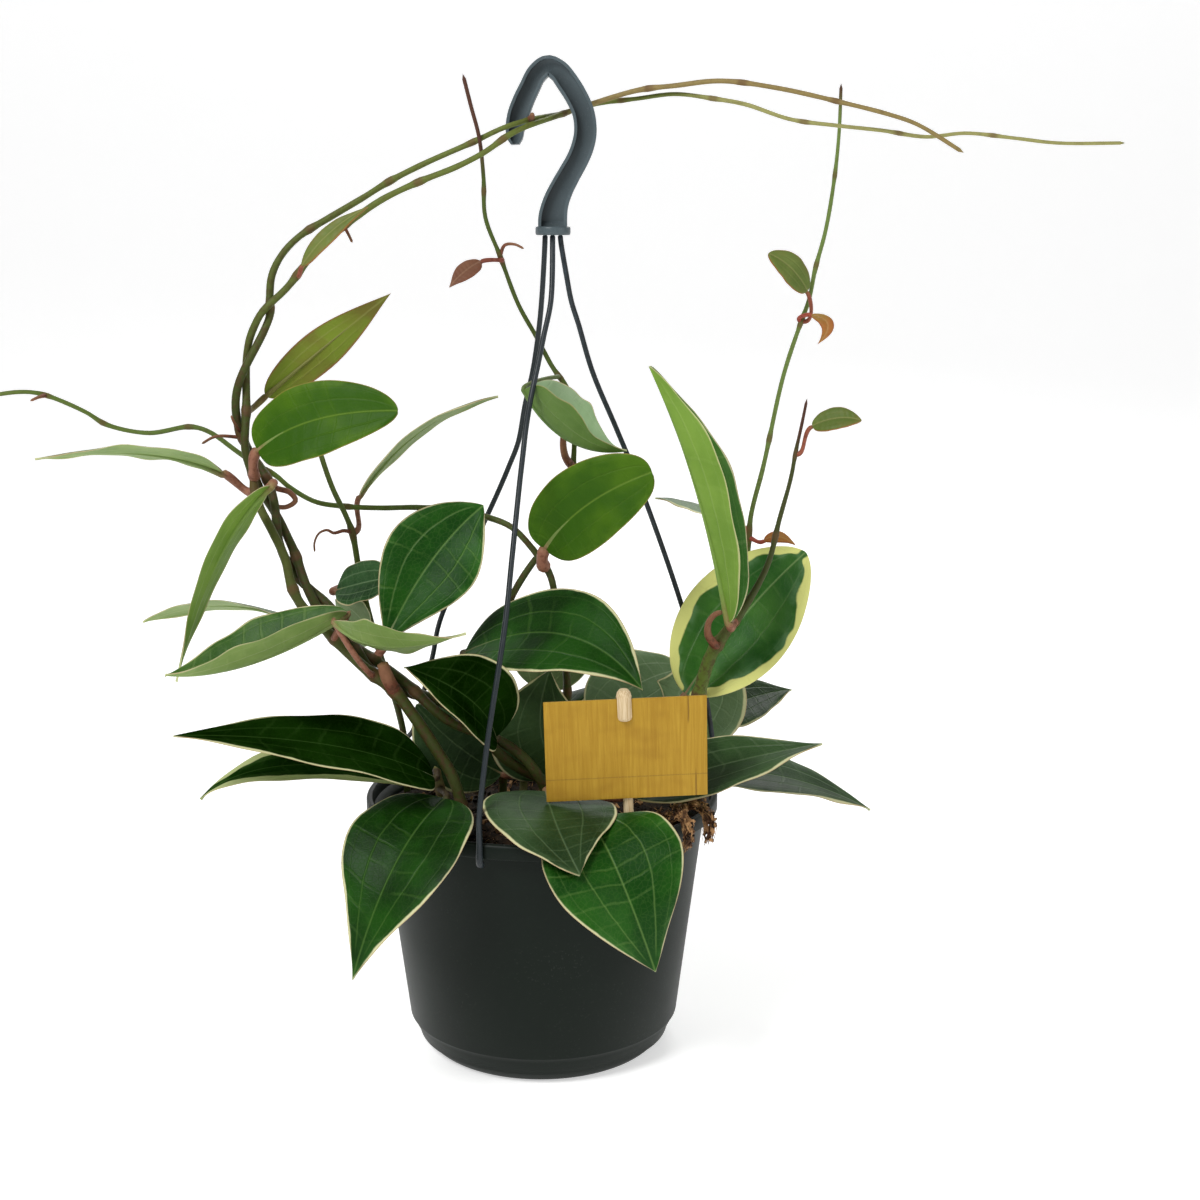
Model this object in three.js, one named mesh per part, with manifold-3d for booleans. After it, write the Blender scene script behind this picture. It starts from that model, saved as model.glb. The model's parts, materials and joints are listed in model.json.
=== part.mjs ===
// A potted climbing hoya in a plastic hanging pot, in millimetres, with +Z up.
// The origin is the centre of the flat under the pot. -Y is the front.
import * as THREE from "three";
import { mergeVertices } from "three/addons/utils/BufferGeometryUtils.js";
import Module from "manifold-3d";

const wasm = await Module();
wasm.setup();

// Pot
const POT_HEIGHT = 110.5;
const RIM_RADIUS = 75;
const RIM_HEIGHT = 6;
const WALL = 1.4;
const BODY_TOP_RADIUS = 69.7;
const CORNER_RADIUS = 58.1; // outside radius where the rounded lower corner starts
const CORNER_HEIGHT = 12.8;
const CORNER_STEP = 0.7; // the small ledge above the corner
const BASE_RADIUS = 47.5;
const FLOOR = 2;
const POT_SIDES = 40;
const DRAIN_HOLES = 6;
const DRAIN_HOLE_RADIUS = 4.5;
const DRAIN_RING_RADIUS = 33;

// Soil
const SOIL_LEVEL = 103;
const SOIL_SWELL = 2.2; // height of the lumps on its surface
const GAP = 0.3; // clearance between touching pieces
const HOLE_DEPTH = 9; // how far a stem stands in the soil

// Hanger
const HOOK_DEPTH = 8;
const HOOK_FLANGE = 1.25;
const HOOK_WEB = 1.8;
const HOOK_STEPS = 24;
const COLLAR_BOTTOM = 344;
const COLLAR_RADIUS = 7.1;
const COLLAR_THICKNESS = 3.5;
const STRAND_RADIUS = 1.1;
const STRAND_RING_RADIUS = RIM_RADIUS + GAP + STRAND_RADIUS;

// Tag
const TAG_WIDTH = 64;
const TAG_HEIGHT = 42;
const TAG_THICKNESS = 0.9;
const STICK_RADIUS = 2;
const STICK_HEAD_RADIUS = 3.1;

// Leaves
const BLADE_THICKNESS = 0.9;
const BLADE_STATIONS = [0.03, 0.1, 0.22, 0.38, 0.55, 0.72, 0.87, 1];
const ACROSS = [-1, -0.5, 0, 0.5, 1]; // places across the blade, from edge to edge
const YOUNG_STATIONS = [0.08, 0.35, 0.7, 1];
const PETIOLE_STEPS = 2;
const STEM_SIDES = 5;

const vec = (p) => new THREE.Vector3(p[0], p[1], p[2]);

// The value at a share of the way along a row of values
function between(values, share) {
  const place = share * (values.length - 1);
  const k = Math.min(Math.floor(place), values.length - 2);
  return values[k] + (values[k + 1] - values[k]) * (place - k);
}

const root = new THREE.Group();

const MATERIALS = {
  pot: { color: 0x26292b, roughness: 0.55, metalness: 0 },
  soil: { color: 0x1d1712, roughness: 1, metalness: 0 },
  hanger: { color: 0x46555c, roughness: 0.5, metalness: 0 },
  card: { color: 0xbc942d, roughness: 0.75, metalness: 0 },
  stick: { color: 0xd9c19a, roughness: 0.8, metalness: 0 },
  stem: { color: 0x46592a, roughness: 0.6, metalness: 0 },
  leaf: { color: 0x2c5a26, roughness: 0.4, metalness: 0 },
  paleLeaf: { color: 0x4f7a35, roughness: 0.45, metalness: 0 },
};

function addMesh(name, geometry, material) {
  const mesh = new THREE.Mesh(geometry, new THREE.MeshStandardMaterial(MATERIALS[material]));
  mesh.name = name;
  root.add(mesh);
  return mesh;
}

// Joining and cutting closed geometries
function toSolid(geometry) {
  const bare = new THREE.BufferGeometry();
  const source = geometry.index ? geometry.toNonIndexed() : geometry;
  bare.setAttribute("position", source.getAttribute("position"));
  const merged = mergeVertices(bare, 1e-4);
  return new wasm.Manifold(
    new wasm.Mesh({
      numProp: 3,
      vertProperties: merged.attributes.position.array,
      triVerts: new Uint32Array(merged.index.array),
    }),
  );
}

function toGeometry(solid) {
  const mesh = solid.getMesh();
  const geometry = new THREE.BufferGeometry();
  geometry.setAttribute("position", new THREE.BufferAttribute(mesh.vertProperties, 3));
  geometry.setIndex(new THREE.BufferAttribute(mesh.triVerts, 1));
  geometry.computeVertexNormals();
  return geometry;
}

const joined = (first, ...others) =>
  toGeometry(others.reduce((solid, other) => solid.add(toSolid(other)), toSolid(first)));

const cut = (first, ...others) =>
  toGeometry(others.reduce((solid, other) => solid.subtract(toSolid(other)), toSolid(first)));

// A closed skin over a row of rings that all have the same number of points
function loft(rings, thin = false) {
  const count = rings[0].length;
  const positions = rings.flat().flatMap((p) => [p.x, p.y, p.z]);
  const faces = [];
  const at = (row, k) => row * count + (k % count);
  for (let row = 0; row + 1 < rings.length; row++) {
    for (let k = 0; k < count; k++) {
      const a = at(row, k);
      const b = at(row, k + 1);
      const c = at(row + 1, k + 1);
      const d = at(row + 1, k);
      // on a thin blade both faces are split the same way
      const mirrored = thin && k >= count / 2;
      if (mirrored) faces.push(a, b, d, b, c, d);
      else faces.push(a, b, c, a, c, d);
    }
  }
  const capStart = positions.length / 3;
  const middle = (ring) => ring.reduce((sum, p) => sum.add(p), vec([0, 0, 0])).divideScalar(count);
  for (const ring of [rings[0], rings[rings.length - 1]]) {
    const m = middle(ring);
    positions.push(m.x, m.y, m.z);
  }
  for (let k = 0; k < count; k++) {
    faces.push(capStart, at(0, k + 1), at(0, k));
    faces.push(capStart + 1, at(rings.length - 1, k), at(rings.length - 1, k + 1));
  }
  const geometry = new THREE.BufferGeometry();
  geometry.setAttribute("position", new THREE.Float32BufferAttribute(positions, 3));
  geometry.setIndex(faces);
  geometry.computeVertexNormals();
  return geometry;
}

// Stems: a tapering tube along a smooth curve through hand-placed points
const smoothCurve = (points) => new THREE.CatmullRomCurve3(points, false, "centripetal");

function tube(curve, steps, sides, radiusAt) {
  const frames = curve.computeFrenetFrames(steps, false);
  const rings = [];
  for (let i = 0; i <= steps; i++) {
    const centre = curve.getPointAt(i / steps);
    const radius = radiusAt(i / steps);
    const ring = [];
    for (let k = 0; k < sides; k++) {
      const angle = (2 * Math.PI * k) / sides;
      ring.push(
        centre
          .clone()
          .addScaledVector(frames.normals[i], radius * Math.cos(angle))
          .addScaledVector(frames.binormals[i], radius * Math.sin(angle)),
      );
    }
    rings.push(ring);
  }
  return loft(rings);
}

// Points that wind round a curve, as one strand of a twisted pair does
function wound(points, spread, turns, phase, steps) {
  const curve = smoothCurve(points.map(vec));
  const frames = curve.computeFrenetFrames(steps, false);
  const result = [];
  for (let i = 0; i <= steps; i++) {
    const angle = phase + (2 * Math.PI * turns * i) / steps;
    const amplitude = between(spread, i / steps);
    result.push(
      curve
        .getPointAt(i / steps)
        .addScaledVector(frames.normals[i], amplitude * Math.cos(angle))
        .addScaledVector(frames.binormals[i], amplitude * Math.sin(angle)),
    );
  }
  return result;
}

// Leaves
function halfWidth(t, leaf) {
  const s = Math.pow(t, leaf.shoulder);
  const power = s < 0.5 ? leaf.round : leaf.taper;
  return (leaf.width / 2) * Math.pow(Math.max(Math.sin(Math.PI * s), 0), power);
}

// The line from the leaf's base to its tip that passes through its middle
function midrib(leaf) {
  const [base, mid, tip] = [leaf.base, leaf.mid, leaf.tip].map(vec);
  const control = mid.clone().multiplyScalar(2).addScaledVector(base, -0.5).addScaledVector(tip, -0.5);
  return new THREE.QuadraticBezierCurve3(base, control, tip);
}

// Directions along, across and out of the blade at t
function bladeFrame(curve, leaf, t) {
  const middleAlong = curve.getTangent(0.5);
  const out = vec(leaf.face);
  out.addScaledVector(middleAlong, -out.dot(middleAlong)).normalize();
  const along = curve.getTangent(t);
  out.applyQuaternion(new THREE.Quaternion().setFromUnitVectors(middleAlong, along));
  out.applyAxisAngle(along, THREE.MathUtils.degToRad(leaf.twist * (t - 0.5)));
  const across = new THREE.Vector3().crossVectors(along, out).normalize();
  return { along, across, out };
}

// A point of the blade's middle surface: t along, v across from -1 to 1
function bladePoint(curve, leaf, t, v) {
  const { across, out } = bladeFrame(curve, leaf, t);
  const half = halfWidth(t, leaf);
  const fold = THREE.MathUtils.degToRad(v < 0 ? leaf.fold[0] : leaf.fold[1]);
  const reach = Math.abs(v) * half;
  const sideways = reach * Math.cos(fold) * Math.sign(v);
  const upwards = reach * Math.sin(fold) + leaf.cup * half * v * v;
  return curve.getPoint(t).addScaledVector(across, sideways).addScaledVector(out, upwards);
}

function bladeRing(curve, leaf, t) {
  const { out } = bladeFrame(curve, leaf, t);
  const top = ACROSS.map((v) => bladePoint(curve, leaf, t, v).addScaledVector(out, BLADE_THICKNESS / 2));
  const under = ACROSS.map((v) => {
    const rib = v === 0 ? leaf.petiole * 0.7 * Math.pow(1 - t, 2) : 0;
    return bladePoint(curve, leaf, t, v).addScaledVector(out, -BLADE_THICKNESS / 2 - rib);
  });
  return [...top, ...under.reverse()];
}

function petioleRings(curve, leaf, foot, outward) {
  const base = vec(leaf.base);
  const start = bladeFrame(curve, leaf, 0);
  const reach = foot.distanceTo(base);
  const path = new THREE.CubicBezierCurve3(
    foot,
    foot.clone().addScaledVector(outward, reach * leaf.spring),
    base.clone().addScaledVector(start.along, -reach * leaf.lead),
    base,
  );
  const rings = [];
  for (let i = PETIOLE_STEPS; i >= 0; i--) {
    const t = i / (PETIOLE_STEPS + 1);
    const along = path.getTangent(t);
    const turn = new THREE.Quaternion().setFromUnitVectors(start.along, along);
    const across = start.across.clone().applyQuaternion(turn);
    const out = start.out.clone().applyQuaternion(turn);
    const ring = [];
    for (let k = 0; k < 10; k++) {
      const angle = THREE.MathUtils.degToRad(162 - 36 * k);
      ring.push(
        path
          .getPoint(t)
          .addScaledVector(across, leaf.petiole * Math.cos(angle))
          .addScaledVector(out, leaf.petiole * Math.sin(angle)),
      );
    }
    rings.unshift(ring);
  }
  return rings;
}

const LEAF_DEFAULTS = {
  width: 44,
  face: [0, -1, 0.3],
  fold: [8, 8],
  cup: 0,
  twist: 0,
  shoulder: 0.8,
  round: 0.6,
  taper: 1.05,
  petiole: 1.6,
  spring: 0.35,
  lead: 0.4,
  stations: BLADE_STATIONS,
  material: "leaf",
};

// A blade and its petiole, whose foot stands on a stem at a distance from the stem's centre line
function leafGeometry(leaf, stem, seat) {
  const { centre, outward, radius } = placeOnStem(stem, vec(leaf.near ?? leaf.base));
  const foot = centre.addScaledVector(outward, seat(radius));
  const curve = midrib(leaf);
  const rings = petioleRings(curve, leaf, foot, outward);
  for (const t of leaf.stations) {
    const safe = Math.min(t, 0.985);
    const ring = bladeRing(curve, leaf, safe);
    if (t === 1) {
      const tip = vec(leaf.tip).sub(curve.getPoint(safe));
      ring.forEach((p) => p.add(tip));
    }
    rings.push(ring);
  }
  return loft(rings, true);
}

// The place on a stem that is nearest to a point
function placeOnStem(stem, near) {
  const samples = 400;
  let best = 0;
  let closest = Infinity;
  for (let i = 0; i <= samples; i++) {
    const d = stem.curve.getPointAt(i / samples).distanceTo(near);
    if (d < closest) {
      closest = d;
      best = i / samples;
    }
  }
  const centre = stem.curve.getPointAt(best);
  const along = stem.curve.getTangentAt(best);
  const outward = near.clone().sub(centre);
  outward.addScaledVector(along, -outward.dot(along)).normalize();
  return { centre, outward, radius: stem.radiusAt(best) };
}

// Pot and soil
const polar = (radius, angle, z) => vec([radius * Math.sin(angle), -radius * Math.cos(angle), z]);
const upright = (geometry) => geometry.rotateX(Math.PI / 2);

// A surface of revolution about +Z from (radius, height) pairs
function turned(profile, sides) {
  return upright(new THREE.LatheGeometry(profile.map(([r, z]) => new THREE.Vector2(r, z)), sides));
}

function cylinder(radius, bottom, top, x, y, sides = 12) {
  const geometry = upright(new THREE.CylinderGeometry(radius, radius, top - bottom, sides));
  return geometry.translate(x, y, (top + bottom) / 2);
}

function potGeometry() {
  const rimBottom = POT_HEIGHT - RIM_HEIGHT;
  const corner = new THREE.QuadraticBezierCurve(
    new THREE.Vector2(CORNER_RADIUS - CORNER_STEP, CORNER_HEIGHT),
    new THREE.Vector2(CORNER_RADIUS - CORNER_STEP - 5.5, 0.5),
    new THREE.Vector2(BASE_RADIUS, 0),
  )
    .getPoints(5)
    .map((p) => [p.x, p.y]);
  const outside = [
    [0, 0],
    ...corner.reverse(),
    [CORNER_RADIUS, CORNER_HEIGHT + 0.8],
    [BODY_TOP_RADIUS, rimBottom],
    [RIM_RADIUS, rimBottom],
    [RIM_RADIUS, POT_HEIGHT - 0.8],
    [RIM_RADIUS - 0.8, POT_HEIGHT],
  ];
  const inside = [
    [RIM_RADIUS - 2.4, POT_HEIGHT],
    [RIM_RADIUS - 3.2, rimBottom + 1],
    [BODY_TOP_RADIUS - WALL, rimBottom - 1],
    [CORNER_RADIUS - WALL, CORNER_HEIGHT + 1],
    [CORNER_RADIUS - 4, FLOOR + 3],
    [BASE_RADIUS, FLOOR],
    [0, FLOOR],
  ];
  const holes = [];
  for (let i = 0; i < DRAIN_HOLES; i++) {
    const at = polar(DRAIN_RING_RADIUS, (2 * Math.PI * i) / DRAIN_HOLES, 0);
    holes.push(cylinder(DRAIN_HOLE_RADIUS, -1, FLOOR + 1, at.x, at.y, 10));
  }
  return cut(turned([...outside, ...inside], POT_SIDES), ...holes);
}

// Lumps of the soil's surface
const soilHeight = (x, y) =>
  SOIL_LEVEL +
  SOIL_SWELL * (0.5 * Math.sin(x * 0.13 + 1.1) * Math.cos(y * 0.11) + 0.4 * Math.sin(x * 0.31 - y * 0.27));

function soilGeometry(holes) {
  const wall = BODY_TOP_RADIUS - WALL - GAP;
  const profile = [
    [0, FLOOR + GAP],
    [BASE_RADIUS - GAP, FLOOR + GAP],
    [CORNER_RADIUS - 4 - 2 * GAP, FLOOR + 3.5],
    [CORNER_RADIUS - WALL - 2 * GAP, CORNER_HEIGHT + 1],
    [wall - 0.7, SOIL_LEVEL - 3],
    [wall * 0.96, SOIL_LEVEL],
    [wall * 0.7, SOIL_LEVEL],
    [wall * 0.35, SOIL_LEVEL],
    [0, SOIL_LEVEL],
  ];
  const geometry = turned(profile, POT_SIDES);
  const position = geometry.getAttribute("position");
  for (let i = 0; i < position.count; i++) {
    if (position.getZ(i) > SOIL_LEVEL - 1) {
      position.setZ(i, soilHeight(position.getX(i), position.getY(i)));
    }
  }
  const spill = SPILL.map(({ points, radii }) =>
    tube(smoothCurve(points.map(vec)), 10, 6, (t) => between(radii, t)),
  );
  const plugs = holes.map(({ x, y, radius }) =>
    cylinder(radius, SOIL_LEVEL - HOLE_DEPTH - GAP, SOIL_LEVEL + 12, x, y, 8),
  );
  return cut(joined(geometry, ...spill), ...plugs);
}

// Two tufts of coir that spill over the rim at the right, each with its radii from the soil to its tip
const SPILL = [
  {
    points: [
      [46, -40, 100], [50.5, -44.5, 111], [54.5, -48.5, 116], [58.5, -53, 116.8], [60.5, -55, 112],
      [60, -55, 107], [58.8, -54.4, 102.5],
    ],
    radii: [4, 3.2, 3, 3.6, 2.6, 3.2, 2.2, 2.6, 1.2],
  },
  {
    points: [
      [53, -30, 100], [57.5, -33, 111], [62, -37, 116], [66.5, -41, 116.6], [69.6, -43.6, 112.5],
      [69.2, -44, 106.5], [68.4, -43.6, 102],
    ],
    radii: [3.6, 2.6, 3, 3, 2.2, 2.6, 1.2, 1.3, 0.8],
  },
];

// Hanger: the hook's middle line from its tip down to the collar, as (x, width there, z)
const HOOK_LINE = [
  [-9.2, 3.4, 379.6], [-9.3, 6.2, 382], [-9.2, 7.4, 385.6], [-7.9, 8.4, 390.8], [-5.9, 8.2, 396.2],
  [-3.3, 7.9, 401.5], [-0.4, 7.8, 406.8], [3.9, 7.7, 409.9], [8.2, 8.3, 407.9], [11.4, 8.8, 404],
  [15.3, 8.8, 398], [18, 8.8, 392], [18.9, 9, 385], [17.9, 9, 379.2], [15.6, 8.8, 373.6],
  [12.4, 9, 368], [9.3, 9.5, 362.4], [6.9, 10.4, 356.8], [5.7, 11.5, 351], [5.7, 11.6, 345],
];

// A bar with a deep channel in its front and its back, closed at both ends, on a round collar
function hookGeometry() {
  const path = smoothCurve(HOOK_LINE.map(vec));
  const d = HOOK_DEPTH / 2;
  const rings = [];
  for (let i = 0; i <= HOOK_STEPS; i++) {
    const { x, y: width, z } = path.getPoint(i / HOOK_STEPS);
    const along = path.getTangent(i / HOOK_STEPS).setY(0).normalize();
    const atEnd = i === 0 || i === HOOK_STEPS;
    const web = atEnd ? d : HOOK_WEB / 2;
    const w = width / 2;
    const flange = w - HOOK_FLANGE;
    const section = [
      [-w, -d], [-flange, -d], [-flange, -web], [flange, -web], [flange, -d], [w, -d],
      [w, d], [flange, d], [flange, web], [-flange, web], [-flange, d], [-w, d],
    ];
    rings.push(section.map(([across, deep]) => vec([x + along.z * across, deep, z - along.x * across])));
  }
  const collar = turned(
    [
      [0, COLLAR_BOTTOM],
      [COLLAR_RADIUS - 0.5, COLLAR_BOTTOM],
      [COLLAR_RADIUS, COLLAR_BOTTOM + 0.6],
      [COLLAR_RADIUS, COLLAR_BOTTOM + COLLAR_THICKNESS - 0.6],
      [COLLAR_RADIUS - 0.5, COLLAR_BOTTOM + COLLAR_THICKNESS],
      [0, COLLAR_BOTTOM + COLLAR_THICKNESS],
    ],
    14,
  ).translate(5.7, 0, 0);
  return joined(loft(rings), collar);
}

// Each strand: its angle round the rim from the front, and the points from the collar down
const RIM_LOW = POT_HEIGHT - RIM_HEIGHT;
const STRANDS = {
  strand_front: {
    angle: -17,
    points: [
      [5.6, -3, 342.8], [5, -11, 318.2], [2.2, -15, 304.6], [-0.2, -18.4, 292.8], [-2.8, -23, 280.5],
      [-4.7, -26, 269.3], [-6, -30, 258], [-7.4, -34, 245.6], [-10, -45, 218.8], [-12.5, -55, 194],
      [-19, -68, 151],
    ],
  },
  strand_right: {
    angle: 103,
    points: [
      [8.7, 0, 342.8], [11.2, 0.5, 327.3], [13, 2, 317.6], [15.9, 3.5, 308.2], [21.6, 5.5, 288.7],
      [31.8, 8, 264.3], [41.5, 10, 240.5], [59, 14, 190.7], [69.8, 16.2, 152],
    ],
  },
  strand_back: {
    angle: -125,
    points: [
      [2.4, 3, 342.8], [0.7, 7, 317.5], [-0.8, 9.5, 304], [-3.3, 12, 288.6], [-6.7, 15, 274.5],
      [-9.9, 18, 258.2], [-14, 20.4, 247.7], [-18.3, 22.2, 237.7], [-24.6, 24.6, 224], [-45.6, 33, 178],
      [-49.4, 36, 161.5], [-53.9, 39, 144.6], [-59.4, 41.5, 125.6],
    ],
  },
};

const strandSection = new THREE.Shape(
  [0, 1, 2, 3, 4, 5].map((k) => {
    const turn = (k * Math.PI) / 3;
    return new THREE.Vector2(STRAND_RADIUS * Math.cos(turn), STRAND_RADIUS * Math.sin(turn));
  }),
);

function rod(points, steps) {
  const path = smoothCurve(points);
  return new THREE.ExtrudeGeometry(strandSection, { steps, extrudePath: path, bevelEnabled: false });
}

// A strand runs down the outside of the rim and hooks in under it
function strandGeometry({ angle, points }) {
  const turn = THREE.MathUtils.degToRad(angle);
  const beside = (outwards, z) => polar(STRAND_RING_RADIUS + outwards, turn, z);
  const long = rod([...points.map(vec), beside(0.1, POT_HEIGHT + 10), beside(0, POT_HEIGHT + 5)], 14);
  const hook = rod(
    [
      beside(0, POT_HEIGHT + 7),
      beside(0, POT_HEIGHT),
      beside(0.3, RIM_LOW + 0.6),
      beside(-0.1, RIM_LOW - 1.7),
      beside(-3, RIM_LOW - 2.6),
    ],
    8,
  );
  return joined(long, hook);
}

// Tag: a card that leans towards the front, held in the split head of its stick
const TAG_CENTRE = [35, -60.3, 146];
const TAG_TURN = 3.5; // degrees about the vertical
const TAG_FORWARD = 6; // degrees that its top leans towards the front
const TAG_LEAN = -1.8; // degrees in its own plane
const STICK_LEAN = -3; // degrees in the card's plane
const STICK_BEHIND = TAG_THICKNESS / 2 + GAP + STICK_RADIUS;
const STICK_LENGTH = TAG_CENTRE[2] - SOIL_LEVEL + HOLE_DEPTH; // from the card's middle down to the foot
const HEAD_LOW = 12; // above the card's middle
const HEAD_TOP = 25;

// Sets a piece that is modelled about the card's middle in its place
function inTagPlace(geometry) {
  geometry.rotateX(THREE.MathUtils.degToRad(TAG_FORWARD));
  geometry.rotateZ(THREE.MathUtils.degToRad(TAG_TURN));
  return geometry.translate(...TAG_CENTRE);
}

function stickGeometry() {
  const shaft = cylinder(STICK_RADIUS, -STICK_LENGTH, HEAD_TOP - 3, 0, STICK_BEHIND, 8);
  const head = turned(
    [
      [0, HEAD_LOW],
      [STICK_HEAD_RADIUS - 0.5, HEAD_LOW],
      [STICK_HEAD_RADIUS, HEAD_LOW + 1.5],
      [STICK_HEAD_RADIUS, HEAD_TOP - 3],
      [STICK_HEAD_RADIUS - 1, HEAD_TOP - 0.8],
      [0, HEAD_TOP],
    ],
    12,
  ).translate(0, 0.6, 0);
  const slitHeight = TAG_HEIGHT + 2 * GAP + 1.2;
  const slit = new THREE.BoxGeometry(3 * STICK_HEAD_RADIUS, TAG_THICKNESS + 2 * GAP, slitHeight);
  const stick = cut(joined(shaft, head), slit);
  return inTagPlace(stick.rotateY(THREE.MathUtils.degToRad(STICK_LEAN)));
}

function cardGeometry() {
  const card = new THREE.BoxGeometry(TAG_WIDTH, TAG_THICKNESS, TAG_HEIGHT);
  return inTagPlace(card.rotateY(THREE.MathUtils.degToRad(TAG_LEAN)));
}

// Where the stick enters the soil
function stickFoot() {
  const atSoil = new THREE.Vector3(0, STICK_BEHIND, 4 - STICK_LENGTH);
  const foot = new THREE.BufferGeometry().setFromPoints([atSoil]);
  inTagPlace(foot.rotateY(THREE.MathUtils.degToRad(STICK_LEAN)));
  return new THREE.Vector3().fromBufferAttribute(foot.getAttribute("position"), 0);
}

// Stems. Those that stand in the soil start at their foot.
const FOOT_Z = SOIL_LEVEL - HOLE_DEPTH;
const BUNDLE = [
  [5, -22, SOIL_LEVEL + 2], [3.4, -24, 117], [-3, -27, 126], [-14.3, -30, 136.5], [-28, -34, 147.6],
  [-48, -38, 162], [-63, -37, 171], [-73.4, -34, 180.5],
  [-86, -29.5, 195], [-96.5, -25.5, 208], [-103, -22, 221], [-107.5, -19, 235],
  [-113, -16, 247], [-119, -13, 259], [-121, -11, 274], [-120, -10, 286], [-116, -9, 300], [-110, -8, 313],
];
const BUNDLE_SPREAD = [2.7, 2.5, 2.2, 2.1];
const BUNDLE_TURNS = 4.2;
const bundleStrand = (phase) => wound(BUNDLE, BUNDLE_SPREAD, BUNDLE_TURNS, phase, 44);
const standing = (points) => [vec([points[0].x, points[0].y, FOOT_Z]), ...points];

const LEFT_MAIN_END = [
  [-101, -8, 323.5], [-92, -8, 334.5], [-83, -8, 343.2], [-73, -8, 350.8], [-62, -8, 358],
  [-46, -10, 365.2],
  [-32, -13, 370.4], [-20.5, -15.5, 376], [-11, -16.5, 382.4], [-4, -12, 386], [4, 0, 389.5], [12, 11, 393],
  [22, 14, 396.5], [40, 12, 401.5], [55, 8, 403], [73, 4, 404.5], [95, 0, 401.5], [119, -4, 396],
  [138, -8, 391], [150, -8, 387], [169, -8, 376],
];
const LEFT_SECOND_END = [
  [-109, -4, 319], [-108, -3, 328], [-104, -2, 336], [-97, 0, 343.4], [-84, 2, 351.4], [-71, 2, 358.8],
  [-60, 0, 365.2], [-45, -4, 372.2], [-26, -8, 380], [-13, -11, 385.6], [-4, -7, 388.6], [4, 4.6, 391],
  [11, 15.5, 393], [23, 18, 396.5], [40, 15.5, 398.5], [55, 12, 400], [70, 8, 398], [83, 6, 395.6],
  [101, 2, 389.5], [119, 0, 387], [138, 0, 385], [155, 0, 382.6], [171, 0, 384], [190, -2, 382],
  [207, -4, 380], [234, -4, 380],
];

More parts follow.
